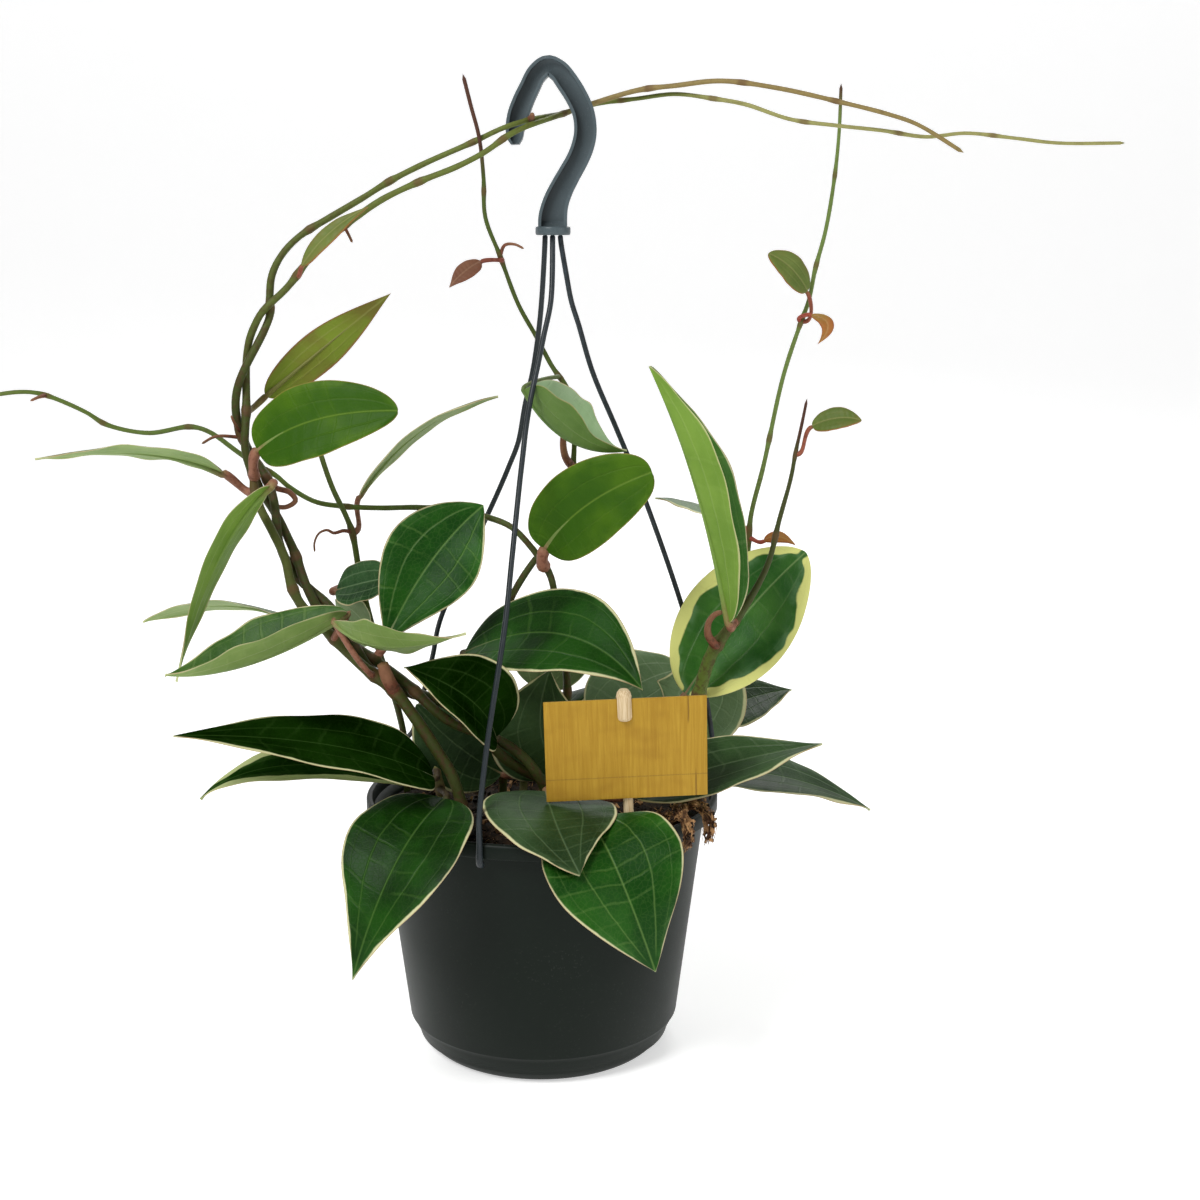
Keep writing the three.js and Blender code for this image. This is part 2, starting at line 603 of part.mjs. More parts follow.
// Each stem: its points from the foot up, its radii at equal shares of its length, and its steps
const STEMS = {
  vine_left_main: {
    points: [...standing(bundleStrand(0)), ...LEFT_MAIN_END.map(vec)],
    radius: [2.2, 2.1, 1.8, 1.4, 1.1, 1, 0.8],
    steps: 62,
  },
  vine_left_second: {
    points: [...standing(bundleStrand(Math.PI)), ...LEFT_SECOND_END.map(vec)],
    radius: [2.2, 2.1, 1.8, 1.3, 0.9, 0.8, 0.7],
    steps: 70,
  },
  vine_left_short: {
    points: [
      [-31, -42, FOOT_Z], [-31, -42, 112], [-32.4, -42.5, 121], [-35.4, -43.4, 130.5],
      [-41.2, -44.4, 141.2], [-49.6, -45.4, 155], [-57.5, -45, 165.6], [-70, -42.4, 175],
      [-80, -39.5, 184], [-88, -38, 192],
      [-95, -36.5, 199], [-99, -34.5, 207], [-101.5, -32, 217], [-107, -29, 228], [-112, -26, 237],
      [-114.5, -23.5, 245], [-114, -21.5, 253],
    ].map(vec),
    radius: [2.3, 2.4, 2, 1.5],
    steps: 22,
  },
  vine_across: {
    points: [
      [10, 4, FOOT_Z], [10, 4, 112], [11, 0, 150], [9, -5, 180], [6, -8, 197], [4, -9, 206], [0, -9, 212.5],
      [-4, -9, 218], [-12, -8, 226], [-24, -4, 230], [-36, 2, 231.5], [-52, 6, 232], [-68, 8, 231.5],
      [-83, 6, 232.5], [-94, 2, 235], [-104, -3, 242], [-109, -5, 247], [-117, -5.5, 251.5],
      [-125, -4, 257],
      [-136, -2, 264.5], [-144, 0, 266.5], [-163, 4, 263.5], [-180, 4, 267], [-188, 2, 272.5],
      [-205, 0, 280],
      [-213, -2, 281], [-226, -4, 279.5],
    ].map(vec),
    radius: [1.6, 1.5, 1.1, 1, 0.9],
    steps: 44,
  },
  vine_centre: {
    points: [
      [-17, 2, FOOT_Z], [-17, 2, 112], [-17, -2, 150], [-18, -4, 176], [-13, -4, 194], [-3, -3, 210.5],
      [4, -1, 218], [9, 1, 232], [13, 2, 247], [14, 4, 258], [14, 7, 269], [11.6, 10.5, 280.3],
      [4.6, 13.5, 290.5], [-1.8, 13.6, 302.6], [-9, 10, 316], [-16, 3, 335.8], [-21.4, -3, 351.2],
      [-21.6, -8, 366.5], [-22.9, -12, 381.8], [-26, -12, 393.9], [-29, -12, 406],
    ].map(vec),
    radius: [1.7, 1.6, 1.1, 0.9, 0.8],
    steps: 42,
  },
  stem_left_inner: {
    points: [
      [-60, 17, FOOT_Z], [-60, 17, 112], [-60.8, 15, 131], [-64, 11, 149], [-69.6, 7, 170], [-76, 4, 200],
      [-79, 2, 222],
      [-81, 0, 229], [-86, -2, 241], [-90, -3, 254], [-93, -3, 266], [-94.5, -2, 274],
    ].map(vec),
    radius: [1.5, 1.4, 1],
    steps: 20,
  },
  vine_right_long: {
    points: [
      [52, 38, FOOT_Z], [52, 38, 108], [53, 39, 126], [60, 42, 144], [73, 40, 162], [84, 37, 182],
      [89, 34, 205],
      [90.4, 34, 224], [95.5, 34, 246], [103.4, 34, 285], [110.2, 34, 307], [113.6, 34, 317],
      [116, 34, 330],
      [120, 34, 346], [123, 34, 366], [124.6, 34, 385], [125, 34, 406],
    ].map(vec),
    radius: [1.6, 1.3, 1, 0.9, 0.7],
    steps: 34,
  },
  vine_right_short: {
    points: [
      [60, -6, FOOT_Z], [60, -6, 110], [63, -6, 124], [64.4, -7, 141], [66.6, -8, 156], [71.4, -10, 173],
      [77, -11, 182], [86, -11, 195], [94, -11, 211], [98.4, -10, 229], [103, -8, 246], [105, -8, 258],
      [107, -8, 268], [109, -8, 279],
    ].map(vec),
    radius: [2.6, 2.7, 2.7, 1.3, 0.9, 0.6],
    steps: 28,
  },
  crown_left: {
    points: [[-40, -32, FOOT_Z], [-40, -32, 112], [-41, -33, 122], [-43, -33, 131]].map(vec),
    radius: [1.9, 1.5],
    steps: 4,
  },
  crown_front: {
    points: [[20, -40, FOOT_Z], [20, -40, 108], [21, -41, 115], [23, -42, 121]].map(vec),
    radius: [1.9, 1.5],
    steps: 4,
  },
  crown_centre: {
    points: [[-8, -8, FOOT_Z], [-8, -8, 110], [-7, -7, 122], [-4, -5, 136]].map(vec),
    radius: [1.9, 1.5],
    steps: 5,
  },
  crown_right: {
    points: [[42, 8, FOOT_Z], [42, 8, 108], [44, 9, 120], [48, 11, 130]].map(vec),
    radius: [1.9, 1.5],
    steps: 5,
  },
  crown_back: {
    points: [[0, 44, FOOT_Z], [0, 44, 108], [-1, 46, 122], [-3, 48, 136]].map(vec),
    radius: [1.9, 1.5],
    steps: 5,
  },
};

// Large leaves: base, middle and tip of the midrib; face is the way the upper side looks
const LEAVES = {
  leaf_front_left: {
    on: "crown_left", base: [-38, -47, 121], mid: [-55, -79, 104], tip: [-71, -89, 61.5],
    face: [-0.35, -0.8, 0.5], width: 50, shoulder: 0.72, taper: 1.15, petiole: 1.3,
  },
  leaf_front_centre: {
    on: "crown_front", near: [22, -42, 119], base: [3, -48, 124.5], mid: [8, -75, 118.5],
    tip: [17, -92, 105],
    face: [0.2, -0.5, 0.86], width: 54, shoulder: 0.52, round: 0.5, taper: 0.9, fold: [0, 0],
  },
  leaf_front_right: {
    on: "crown_front", near: [20, -40, 109], base: [21, -58, 116], mid: [32.5, -84, 101],
    tip: [46, -88, 64.5],
    face: [0.2, -0.85, 0.4], width: 56, shoulder: 0.74, taper: 0.95,
  },
  leaf_left_upper: {
    on: "crown_left", base: [-43, -41, 128.5], mid: [-84, -52, 145], tip: [-143, -60, 151],
    face: [0.1, -0.2, 1], width: 50, shoulder: 0.66, round: 0.5, taper: 0.9, petiole: 1.3,
  },
  leaf_left_lower: {
    on: "crown_left", base: [-47, -26, 121], mid: [-102.1, -34, 131.2], tip: [-139, -36, 117.7],
    face: [0, -0.2, 1], width: 30, petiole: 1.3,
  },
  leaf_right_upper: {
    on: "crown_front", base: [38, -40, 121], mid: [72, -35.5, 131.2], tip: [116, -30, 139.5],
    face: [0.1, -0.35, 0.95], width: 37,
  },
  leaf_right_lower: {
    on: "crown_right", base: [66, -1, 116], mid: [101, 0, 116.5], tip: [142, 6, 99.5],
    face: [0.15, -0.25, 0.95], width: 34,
  },
  leaf_right_back: {
    on: "crown_right", near: [43, 9, 116], base: [65, 30, 130], mid: [88, 44, 138], tip: [112, 54, 141],
    face: [0.1, -0.35, 0.95], width: 34,
  },
  leaf_right_inner: {
    on: "crown_right", near: [48, 11, 129], base: [58, 23, 132], mid: [70, 29, 147], tip: [68, 35, 170],
    face: [0.1, -0.9, 0.3], width: 42, shoulder: 0.72, taper: 0.8,
  },
  leaf_centre_low: {
    on: "crown_centre", base: [8, -11, 122], mid: [0, -16, 142], tip: [4, -10, 166],
    face: [0, -0.9, 0.4], width: 44,
  },
  leaf_centre_lowest: {
    on: "crown_centre", base: [-17, -10, 121], mid: [-36, -14, 135], tip: [-52, -14, 152],
    face: [-0.3, -0.9, 0.3], width: 38, taper: 0.8,
  },
  leaf_centre_left: {
    on: "vine_left_second", base: [-17.6, -41, 145.4], mid: [-28, -52, 164.6], tip: [-52.7, -51, 176.8],
    face: [0.5, -0.7, 0.5], width: 39, fold: [30, 30],
  },
  leaf_centre_large: {
    on: "vine_centre", near: [-24, -12, 177], base: [-31, -13, 174], mid: [10, -35, 186.2],
    tip: [41.5, -56, 168.5],
    face: [0.2, -0.75, 0.65], width: 45,
  },
  leaf_left_tall: {
    on: "vine_left_main", base: [-62.5, -30, 181.5], mid: [-45, -21, 212.5], tip: [-23, -12, 235.5],
    face: [0, -0.95, 0.3], width: 40, shoulder: 1.12, round: 0.95, taper: 0.85,
  },
  leaf_left_round: {
    on: "stem_left_inner", base: [-84, -12, 200], mid: [-72, -14, 203.5], tip: [-56, -15, 207],
    face: [0, -0.5, 0.85], width: 27, round: 0.5, taper: 0.7,
  },
  leaf_left_pale: {
    on: "stem_left_inner", base: [-72, 2, 176], mid: [-82, 6, 184], tip: [-88, 10, 192],
    face: [0.3, 0.7, 0.6], width: 32,
  },
  leaf_left_folded: {
    on: "vine_left_short", material: "paleLeaf", near: [-82, -44, 186], base: [-74.9, -46, 197.6],
    mid: [-112.9, -54, 178.8], tip: [-145, -60, 175.8],
    face: [0.1, 0, 1], width: 38, fold: [40, 46], petiole: 1.2, lead: 0.1,
  },
  leaf_left_thin: {
    on: "vine_left_main", material: "paleLeaf", base: [-92, -20, 186], mid: [-130, -8, 193],
    tip: [-168, 0, 184],
    face: [0.1, 0.3, 1], width: 38, fold: [0, 0],
  },
  leaf_left_inner: {
    on: "vine_left_short", material: "paleLeaf", near: [-66, -48, 172], base: [-79, -56, 196.5],
    mid: [-58.6, -59, 187.2], tip: [-27.3, -60, 192.6],
    face: [0.2, 0.5, 0.9], width: 41, fold: [10, 10], shoulder: 0.8, round: 0.9, taper: 1.6,
    petiole: 1.2, lead: 0.1,
  },
  leaf_upper_left_oval: {
    on: "vine_left_short", material: "paleLeaf", near: [-113, -28, 250], base: [-111.5, -28, 260.1],
    mid: [-86.8, -36, 272.9], tip: [-53.9, -42, 277],
    face: [-0.1, -0.9, 0.35], width: 31, shoulder: 0.84, round: 0.36, taper: 0.5, petiole: 1.9,
  },
  leaf_upper_left_red: {
    on: "vine_left_main", material: "paleLeaf", near: [-119, -4, 272], base: [-112.8, 1, 279.1],
    mid: [-87.7, 5, 299.7], tip: [-61.2, 8, 320.7],
    face: [0.5, 0.6, 0.5], width: 17, petiole: 1.3, lead: 0.2,
  },
  leaf_thin_right_of_vine: {
    on: "stem_left_inner", material: "paleLeaf", near: [-77, 3, 222], base: [-77, 15, 236],
    mid: [-51.4, 18, 262.8], tip: [-18.5, 24, 277],
    face: [-0.7, 0.2, 0.7], width: 22, fold: [0, 0], petiole: 1.1,
  },
  leaf_long_left: {
    on: "vine_left_short", material: "paleLeaf", base: [-105.6, -37, 246.9],
    mid: [-125.8, -46, 218.4], tip: [-143.2, -50, 170.5],
    face: [-0.85, 0.3, 0.45], width: 24, fold: [4, 4], shoulder: 0.78, round: 0.75,
    taper: 1.4,
  },
  leaf_far_left: {
    on: "vine_left_short", material: "paleLeaf", near: [-118, -20, 241], base: [-127, -24, 250.6],
    mid: [-157, -34, 259.5], tip: [-195, -46, 258.5],
    face: [0, 0.27, 1], width: 34, fold: [4, 4], taper: 1.25, petiole: 1.6, spring: 0.5,
  },
  leaf_upper_centre_folded: {
    on: "vine_centre", material: "paleLeaf", near: [2, -10, 289], base: [-6, -14, 283],
    mid: [12, -16, 262.5], tip: [35.5, -20, 259],
    face: [0.4, -0.1, 0.9], width: 43, fold: [47, 47], shoulder: 0.7, round: 0.36, petiole: 0.9,
    spring: 0.2, lead: 0.1,
  },
  leaf_upper_centre_oval: {
    on: "vine_across", material: "paleLeaf", near: [0, -15, 209], base: [2.1, -14, 217.7],
    mid: [19.4, -22, 237.1], tip: [45.4, -30, 251.6],
    face: [0, -0.95, 0.25], width: 34, shoulder: 0.86, round: 0.34, taper: 0.36, petiole: 2.2,
  },
  leaf_right_tall: {
    on: "vine_right_short", material: "paleLeaf", base: [77.5, -24, 189], mid: [64, -22, 242.5],
    tip: [44.5, -16, 292.5],
    face: [0.98, -0.2, 0.1], width: 37, fold: [52, 52], twist: 20, shoulder: 0.95, round: 0.55,
    taper: 0.8,
  },
  leaf_right_variegated: {
    on: "crown_right", base: [61, 0, 153], mid: [84.5, 8, 183.5], tip: [113, 20, 210.5],
    face: [-0.1, -0.95, 0.25], width: 48, shoulder: 0.92, taper: 0.6,
  },
  leaf_right_sliver: {
    on: "vine_right_long", material: "paleLeaf", base: [84, 38, 218], mid: [68, 42, 226.5],
    tip: [49, 44, 230.5],
    face: [-0.1, 0.05, 1], width: 28, fold: [0, 0],
  },
  leaf_back_left: {
    on: "crown_back", base: [-12, 54, 120], mid: [-31, 79, 123], tip: [-51, 98, 109],
    face: [-0.2, 0.3, 0.95], width: 40,
  },
  leaf_back_centre: {
    on: "crown_back", base: [4, 60, 129], mid: [13, 87, 130], tip: [20, 104, 98],
    face: [0, 0.6, 0.8], width: 44,
  },
  leaf_back_right: {
    on: "crown_back", base: [21, 47, 130], mid: [44, 57, 144], tip: [66, 66, 148],
    face: [0.2, -0.5, 0.8], width: 40,
  },
  leaf_back_upright: {
    on: "crown_back", base: [-4, 54, 142], mid: [4, 60, 160], tip: [14, 58, 178],
    face: [0.1, 0.9, 0.4], width: 38,
  },
};

// Young leaves, which are one piece with their stem
const YOUNG_LEAVES = [
  {
    on: "vine_right_long", near: [111, 34, 308], base: [111.5, 24, 321], mid: [104, 20, 330.5],
    tip: [94.5, 18, 336.5], width: 14, round: 0.5, taper: 0.6,
  },
  {
    on: "vine_right_long", near: [110, 34, 308], base: [114, 26, 311], mid: [120, 20, 307],
    tip: [116, 20, 299], width: 6,
  },
  { on: "vine_right_long", base: [96, 29, 214], mid: [102, 27, 216], tip: [109, 24, 213], width: 6 },
  {
    on: "vine_right_short", near: [105, -8, 256], base: [111, -12, 268], mid: [120.5, -16, 271.5],
    tip: [130, -18, 270.8], width: 11, round: 0.5, taper: 0.7,
  },
  {
    on: "vine_centre", near: [-15, 3, 334], base: [-23.5, -3, 333.5], mid: [-29.6, -8, 329.6],
    tip: [-35.6, -12, 323.6], width: 8.5,
  },
  {
    on: "vine_left_main", near: [-97, -8, 328], base: [-94, -13, 332], mid: [-82, -15, 345],
    tip: [-67, -14, 355], width: 8,
  },
];

const YOUNG_DEFAULTS = { ...LEAF_DEFAULTS, face: [0, -0.8, 0.6], petiole: 0.8, stations: YOUNG_STATIONS };

// Tendrils, buds and bare petioles, each a tapering shoot of its stem
const SHOOTS = [
  {
    on: "vine_centre", points: [[-16, 3, 336], [-14, 2, 340], [-10, 1, 340.4], [-6, 0, 338.6]],
    radius: [0.8, 0.5],
  },
  {
    on: "vine_centre", points: [[13.6, 2, 250], [10.6, -3, 254], [9.6, -7, 260], [10, -7, 266]],
    radius: [1.9, 1.2],
  },
  {
    on: "stem_left_inner",
    points: [
      [-79, 2, 222], [-82, -2, 223.4], [-86, -3, 222.6], [-88.6, -4, 224], [-92, -4, 222.6],
      [-94, -4, 218.6], [-94, -4, 214.6],
    ],
    radius: [0.9, 0.7, 0.45, 0.4],
  },
  { on: "vine_left_main", points: [[-77, -8, 347], [-75, -10, 343], [-74, -11, 341]], radius: [0.7, 0.5] },
  { on: "vine_across", points: [[-203, -1, 280], [-205, -5, 279], [-208, -6, 277.6]], radius: [1, 0.5] },
  {
    on: "vine_left_second", points: [[-121, -13, 264], [-131, -14, 264], [-137, -14, 261]],
    radius: [0.8, 0.5],
  },
  {
    on: "vine_left_second", points: [[-119, -12, 266], [-123, -16, 270], [-124, -17, 273]],
    radius: [0.9, 0.5],
  },
  { on: "vine_left_second", points: [[-3, -7, 388], [-2, -10, 390], [-2, -12, 391]], radius: [1.5, 0.8] },
  {
    on: "vine_left_short",
    points: [[-58.4, -45, 164.3], [-59.8, -48.5, 172.2], [-61.5, -49.5, 178.5]],
    radius: [2.9, 2.9, 2.3],
  },
  {
    on: "vine_left_second",
    points: [
      [-112, -16, 245], [-108, -10, 242.4], [-103, -8, 240.4], [-100.6, -8, 237], [-104, -10, 234.6],
      [-110, -13, 235.4],
    ],
    radius: [1.3, 1.2, 0.9],
  },
  {
    on: "vine_right_short",
    points: [
      [78.4, -12, 173.9], [72.2, -17, 178], [69.1, -19, 183.1], [69.4, -20, 188.4],
      [72.2, -20.5, 191.9], [75.1, -20.5, 192.7],
    ],
    radius: [1.5, 1.8, 1.6, 1.3, 1],
  },
];

function buildStems() {
  const stems = {};
  for (const [name, { points, radius, steps }] of Object.entries(STEMS)) {
    const curve = smoothCurve(points);
    curve.arcLengthDivisions = 600;
    const radiusAt = (t) => between(radius, t);
    const geometry = tube(curve, steps, STEM_SIDES, radiusAt);
    stems[name] = { curve, radiusAt, geometry, foot: points[0], thick: radius[0] };
  }
  return stems;
}

// A stem with the young leaves and shoots that grow from it
function leafyStem(name, stems) {
  const young = YOUNG_LEAVES.filter((leaf) => leaf.on === name).map((leaf) =>
    leafGeometry({ ...YOUNG_DEFAULTS, ...leaf }, stems[name], () => 0),
  );
  const shoots = SHOOTS.filter((shoot) => shoot.on === name).map(({ points, radius }) => {
    const start = placeOnStem(stems[name], vec(points[0])).centre;
    const curve = smoothCurve([start, ...points.slice(1).map(vec)]);
    return tube(curve, points.length, STEM_SIDES, (t) => between(radius, t));
  });
  return joined(stems[name].geometry, ...young, ...shoots);
}

addMesh("pot", potGeometry(), "pot");
const stems = buildStems();
const stickHole = { x: stickFoot().x, y: stickFoot().y, radius: STICK_RADIUS + 1.2 };
const stemHoles = Object.values(stems).map(({ foot, thick }) => {
  return { x: foot.x, y: foot.y, radius: thick + 0.7 };
});
addMesh("soil", soilGeometry([stickHole, ...stemHoles]), "soil");
addMesh("hanger_hook", hookGeometry(), "hanger");
for (const [name, strand] of Object.entries(STRANDS)) addMesh(name, strandGeometry(strand), "hanger");
addMesh("tag_card", cardGeometry(), "card");
addMesh("tag_stick", stickGeometry(), "stick");
for (const name of Object.keys(stems)) addMesh(name, leafyStem(name, stems), "stem");
for (const [name, shape] of Object.entries(LEAVES)) {
  const leaf = { ...LEAF_DEFAULTS, ...shape };
  const seat = (radius) => radius + GAP + 0.1 * leaf.petiole;
  addMesh(name, leafGeometry(leaf, stems[leaf.on], seat), leaf.material);
}

export default root;
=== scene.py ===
# %% [markdown]
# # A climbing hoya in its hanging pot
#
# The model is a young climbing hoya as it leaves the nursery: a round plastic pot, a moulded
# hook on three thin strands, a wooden name card, and a plant with broad cream-edged leaves
# whose vines climb to the hook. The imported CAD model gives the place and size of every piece.
# This script grows finer pieces over it and paints them with nodes.

# %% The frame
import json
import math
import random

import bmesh
import bpy
from mathutils import Matrix, Quaternion, Vector, noise

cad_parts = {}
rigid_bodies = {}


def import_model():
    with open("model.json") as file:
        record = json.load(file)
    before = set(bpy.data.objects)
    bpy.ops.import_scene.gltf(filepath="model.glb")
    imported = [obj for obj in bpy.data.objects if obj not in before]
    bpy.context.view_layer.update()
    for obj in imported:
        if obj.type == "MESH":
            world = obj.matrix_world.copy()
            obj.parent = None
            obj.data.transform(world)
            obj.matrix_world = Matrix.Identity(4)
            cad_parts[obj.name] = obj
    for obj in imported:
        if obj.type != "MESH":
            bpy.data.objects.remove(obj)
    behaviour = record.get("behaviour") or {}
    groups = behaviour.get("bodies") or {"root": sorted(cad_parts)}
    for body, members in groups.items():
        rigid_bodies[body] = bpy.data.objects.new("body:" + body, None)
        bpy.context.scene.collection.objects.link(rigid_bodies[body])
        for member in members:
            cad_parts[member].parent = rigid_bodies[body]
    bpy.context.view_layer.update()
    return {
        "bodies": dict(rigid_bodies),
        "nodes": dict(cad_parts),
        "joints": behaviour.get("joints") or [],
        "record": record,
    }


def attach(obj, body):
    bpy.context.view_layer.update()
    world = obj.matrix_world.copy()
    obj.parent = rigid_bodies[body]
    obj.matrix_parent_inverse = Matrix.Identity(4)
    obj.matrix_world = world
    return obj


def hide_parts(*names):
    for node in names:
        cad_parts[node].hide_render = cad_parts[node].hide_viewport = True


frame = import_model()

MM = 0.001
print("CAD nodes:", len(frame["nodes"]))

# %% [markdown]
# ## The camera
#
# The photograph looks at the plant from 0.75 m away, a little above its middle, so the camera
# goes where the pot's outline agrees with the picture. It comes first, because everything else
# is judged through it.

# %% The camera
CAMERA_PLACE = (0.0247, -0.750, 0.344)
PITCHED_DOWN = 11.34
camera_data = bpy.data.cameras.new("camera")
camera_data.sensor_width = 36
camera_data.lens = 54.57
camera = bpy.data.objects.new("camera", camera_data)
camera.location = CAMERA_PLACE
camera.rotation_euler = (math.radians(90 - PITCHED_DOWN), 0, 0)
bpy.context.scene.collection.objects.link(camera)
bpy.context.scene.camera = camera
print("camera at", tuple(round(c, 3) for c in camera.location))

# %% [markdown]
# ## Smooth lines
#
# Vines, strands and the hook all follow a smooth line through a few given points. A Catmull-Rom
# line passes through every point, which a Bezier curve's handles do not promise. The centripetal
# kind is used because it makes no loops where points lie close.


# %% Smooth lines
TINY = 1e-6


def spline_place(points, span, share):
    """The place at a share of one span of a centripetal Catmull-Rom line."""
    last = len(points) - 1
    p1, p2 = points[span], points[span + 1]
    p0 = points[span - 1] if span > 0 else p1 * 2 - p2
    p3 = points[span + 2] if span + 2 <= last else p2 * 2 - p1
    d0, d1, d2 = (max((b - a).length, TINY) ** 0.5 for a, b in ((p0, p1), (p1, p2), (p2, p3)))
    slope1 = ((p1 - p0) / d0 - (p2 - p0) / (d0 + d1) + (p2 - p1) / d1) * d1
    slope2 = ((p2 - p1) / d1 - (p3 - p1) / (d1 + d2) + (p3 - p2) / d2) * d1
    square = -3 * p1 + 3 * p2 - 2 * slope1 - slope2
    cube = 2 * p1 - 2 * p2 + slope1 + slope2
    return p1 + slope1 * share + square * share**2 + cube * share**3


class Line:
    """A smooth line through points in millimetres. Places on it are shares of its length."""

    def __init__(self, points, spans=24):
        points = [Vector(p) for p in points]
        self.samples = [
            spline_place(points, span, k / spans)
            for span in range(len(points) - 1)
            for k in range(spans)
        ]
        self.samples.append(points[-1])
        self.reach = [0.0]
        for a, b in zip(self.samples, self.samples[1:]):
            self.reach.append(self.reach[-1] + (b - a).length)
        self.length = self.reach[-1]

    def at(self, share):
        wanted = min(max(share, 0), 1) * self.length
        low, high = 0, len(self.reach) - 1
        while high - low > 1:
            middle = (low + high) // 2
            if self.reach[middle] <= wanted:
                low = middle
            else:
                high = middle
        part = (wanted - self.reach[low]) / max(self.reach[high] - self.reach[low], 1e-9)
        return self.samples[low].lerp(self.samples[high], part)

    def along(self, share):
        return (self.at(share + 1e-3) - self.at(share - 1e-3)).normalized()


def between(values, share):
    """The value at a share of the way along a row of values."""
    place = share * (len(values) - 1)
    k = min(int(place), len(values) - 2)
    return values[k] + (values[k + 1] - values[k]) * (place - k)


def bent(start, pull, end, t):
    """A place on a curve that leaves start and reaches end, pulled towards a third point."""
    return start * (1 - t) ** 2 + pull * 2 * t * (1 - t) + end * t * t


def carried_normals(directions):
    """A normal for each direction, carried along the line without twisting."""
    first = directions[0]
    axis = [0, 0, 0]
    axis[min((2, 1, 0), key=lambda k: abs(first[k]))] = 1
    normals = [first.cross(first.cross(Vector(axis)).normalized())]
    for before, after in zip(directions, directions[1:]):
        normals.append(before.rotation_difference(after) @ normals[-1])
    return normals


def spoke(direction, normal, turn):
    """The way out from a line, at a turn round it from its normal."""
    return normal * math.cos(turn) + direction.cross(normal) * math.sin(turn)


print("length of a test line:", round(Line([(0, 0, 0), (10, 0, 0), (20, 5, 0)]).length, 2), "mm")

# %% [markdown]
# ## Grids that become skins
#
# A leaf blade and a vine are both a flat grid that is bent into place. `create_grid` makes the
# faces and their UV map, and each point is then moved. A vine's grid is rolled into a tube and
# its seam welded. Every point also carries three numbers, in an attribute named skin, that tell
# the materials where on the leaf or stem they are. Round mouldings are spun from a section, and
# holes are cut with a Boolean.

# %% Grids
TURN_STEPS = 192
GAP = 0.3  # between pieces that fit together, in mm


def new_mesh():
    bm = bmesh.new()
    bm.loops.layers.uv.new("UVMap")
    bm.verts.layers.float_vector.new("skin")
    return bm


def grid(bm, across, along):
    """The rows of points of a new flat grid."""
    made = bmesh.ops.create_grid(bm, x_segments=across, y_segments=along, size=1, calc_uvs=True)
    made = sorted(made["verts"], key=lambda point: (round(point.co.y, 4), point.co.x))
    return [made[k * (across + 1) : (k + 1) * (across + 1)] for k in range(along + 1)]


def faces_of(points):
    return list({face for point in points for face in point.link_faces})


def weld(bm, points=None):
    bmesh.ops.remove_doubles(bm, verts=points or bm.verts, dist=TINY)


def add_tube(bm, centres, radii, sides=10, material=0, marks=None):
    """A tube with closed round ends through a row of centres. A mark goes to its paint."""
    last = len(centres) - 1
    directions = [
        (centres[min(k + 1, last)] - centres[max(k - 1, 0)]).normalized() for k in range(last + 1)
    ]
    normals = carried_normals(directions)
    skin = bm.verts.layers.float_vector["skin"]
    rows = grid(bm, sides, last)
    for k, row in enumerate(rows):
        radius = 0 if k in (0, last) else radii[k]
        for i, point in enumerate(row):
            offset = spoke(directions[k], normals[k], 2 * math.pi * i / sides)
            point.co = (centres[k] + offset * radius) * MM
            point[skin] = (i / sides, k / last, marks[k] if marks else 0)
    points = [point for row in rows for point in row]
    for face in faces_of(points):
        face.material_index = material
    weld(bm, points)


def add_rod(bm, line, steps, radius_at, sides, material=0):
    """A tube along a line. Its radius is a function of the share of the length."""
    shares = [k / steps for k in range(steps + 1)]
    add_tube(bm, [line.at(s) for s in shares], [radius_at(s) for s in shares], sides, material)


def spin(bm, section, steps=TURN_STEPS):
    """Spins a section of (radius, height) pairs about the upright axis."""
    points = [bm.verts.new((radius * MM, 0, height * MM)) for radius, height in section]
    edges = [bm.edges.new(pair) for pair in zip(points, points[1:])]
    bmesh.ops.spin(
        bm, geom=points + edges, cent=(0, 0, 0), axis=(0, 0, 1), dvec=(0, 0, 0),
        angle=2 * math.pi, steps=steps, use_merge=True,
    )
    weld(bm)
    bmesh.ops.recalc_face_normals(bm, faces=bm.faces)


def move(bm, way):
    bmesh.ops.translate(bm, verts=bm.verts, vec=way)


def add_box(bm, *size):
    bmesh.ops.create_cube(bm, size=1)
    bmesh.ops.scale(bm, verts=bm.verts, vec=[side * MM for side in size])


def bevel(bm, edges, offset):
    bmesh.ops.bevel(
        bm, geom=edges, offset=offset * MM, offset_type="OFFSET", affect="EDGES", segments=2,
        profile=0.5, material=-1, clamp_overlap=True,
    )


def as_object(bm, name):
    mesh = bpy.data.meshes.new(name)
    bm.to_mesh(mesh)
    bm.free()
    made = bpy.data.objects.new(name, mesh)
    bpy.context.scene.collection.objects.link(made)
    return made


def boolean(target, other, operation):
    """Joins target with other, or cuts it by other, which is then removed."""
    modifier = target.modifiers.new("boolean", "BOOLEAN")
    modifier.operation, modifier.solver, modifier.object = operation, "EXACT", other
    bpy.context.view_layer.update()
    ready = target.evaluated_get(bpy.context.evaluated_depsgraph_get())
    finished = bpy.data.meshes.new_from_object(ready)
    target.modifiers.clear()
    target.data = finished
    bpy.data.objects.remove(other)


def smooth(mesh, sharp):
    """Smooth shading, with sharp edges where faces meet at more than an angle in degrees."""
    mesh.shade_smooth()
    if sharp:
        mesh.set_sharp_from_angle(angle=math.radians(sharp))


def finish_piece(name, bm, node, materials, sharp=None):
    """Makes the object, which stands for one CAD node and rides on the one body."""
    made = as_object(bm, name)
    for material in materials:
        made.data.materials.append(material)
    smooth(made.data, sharp)
    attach(made, "root")
    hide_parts(node)
    return made


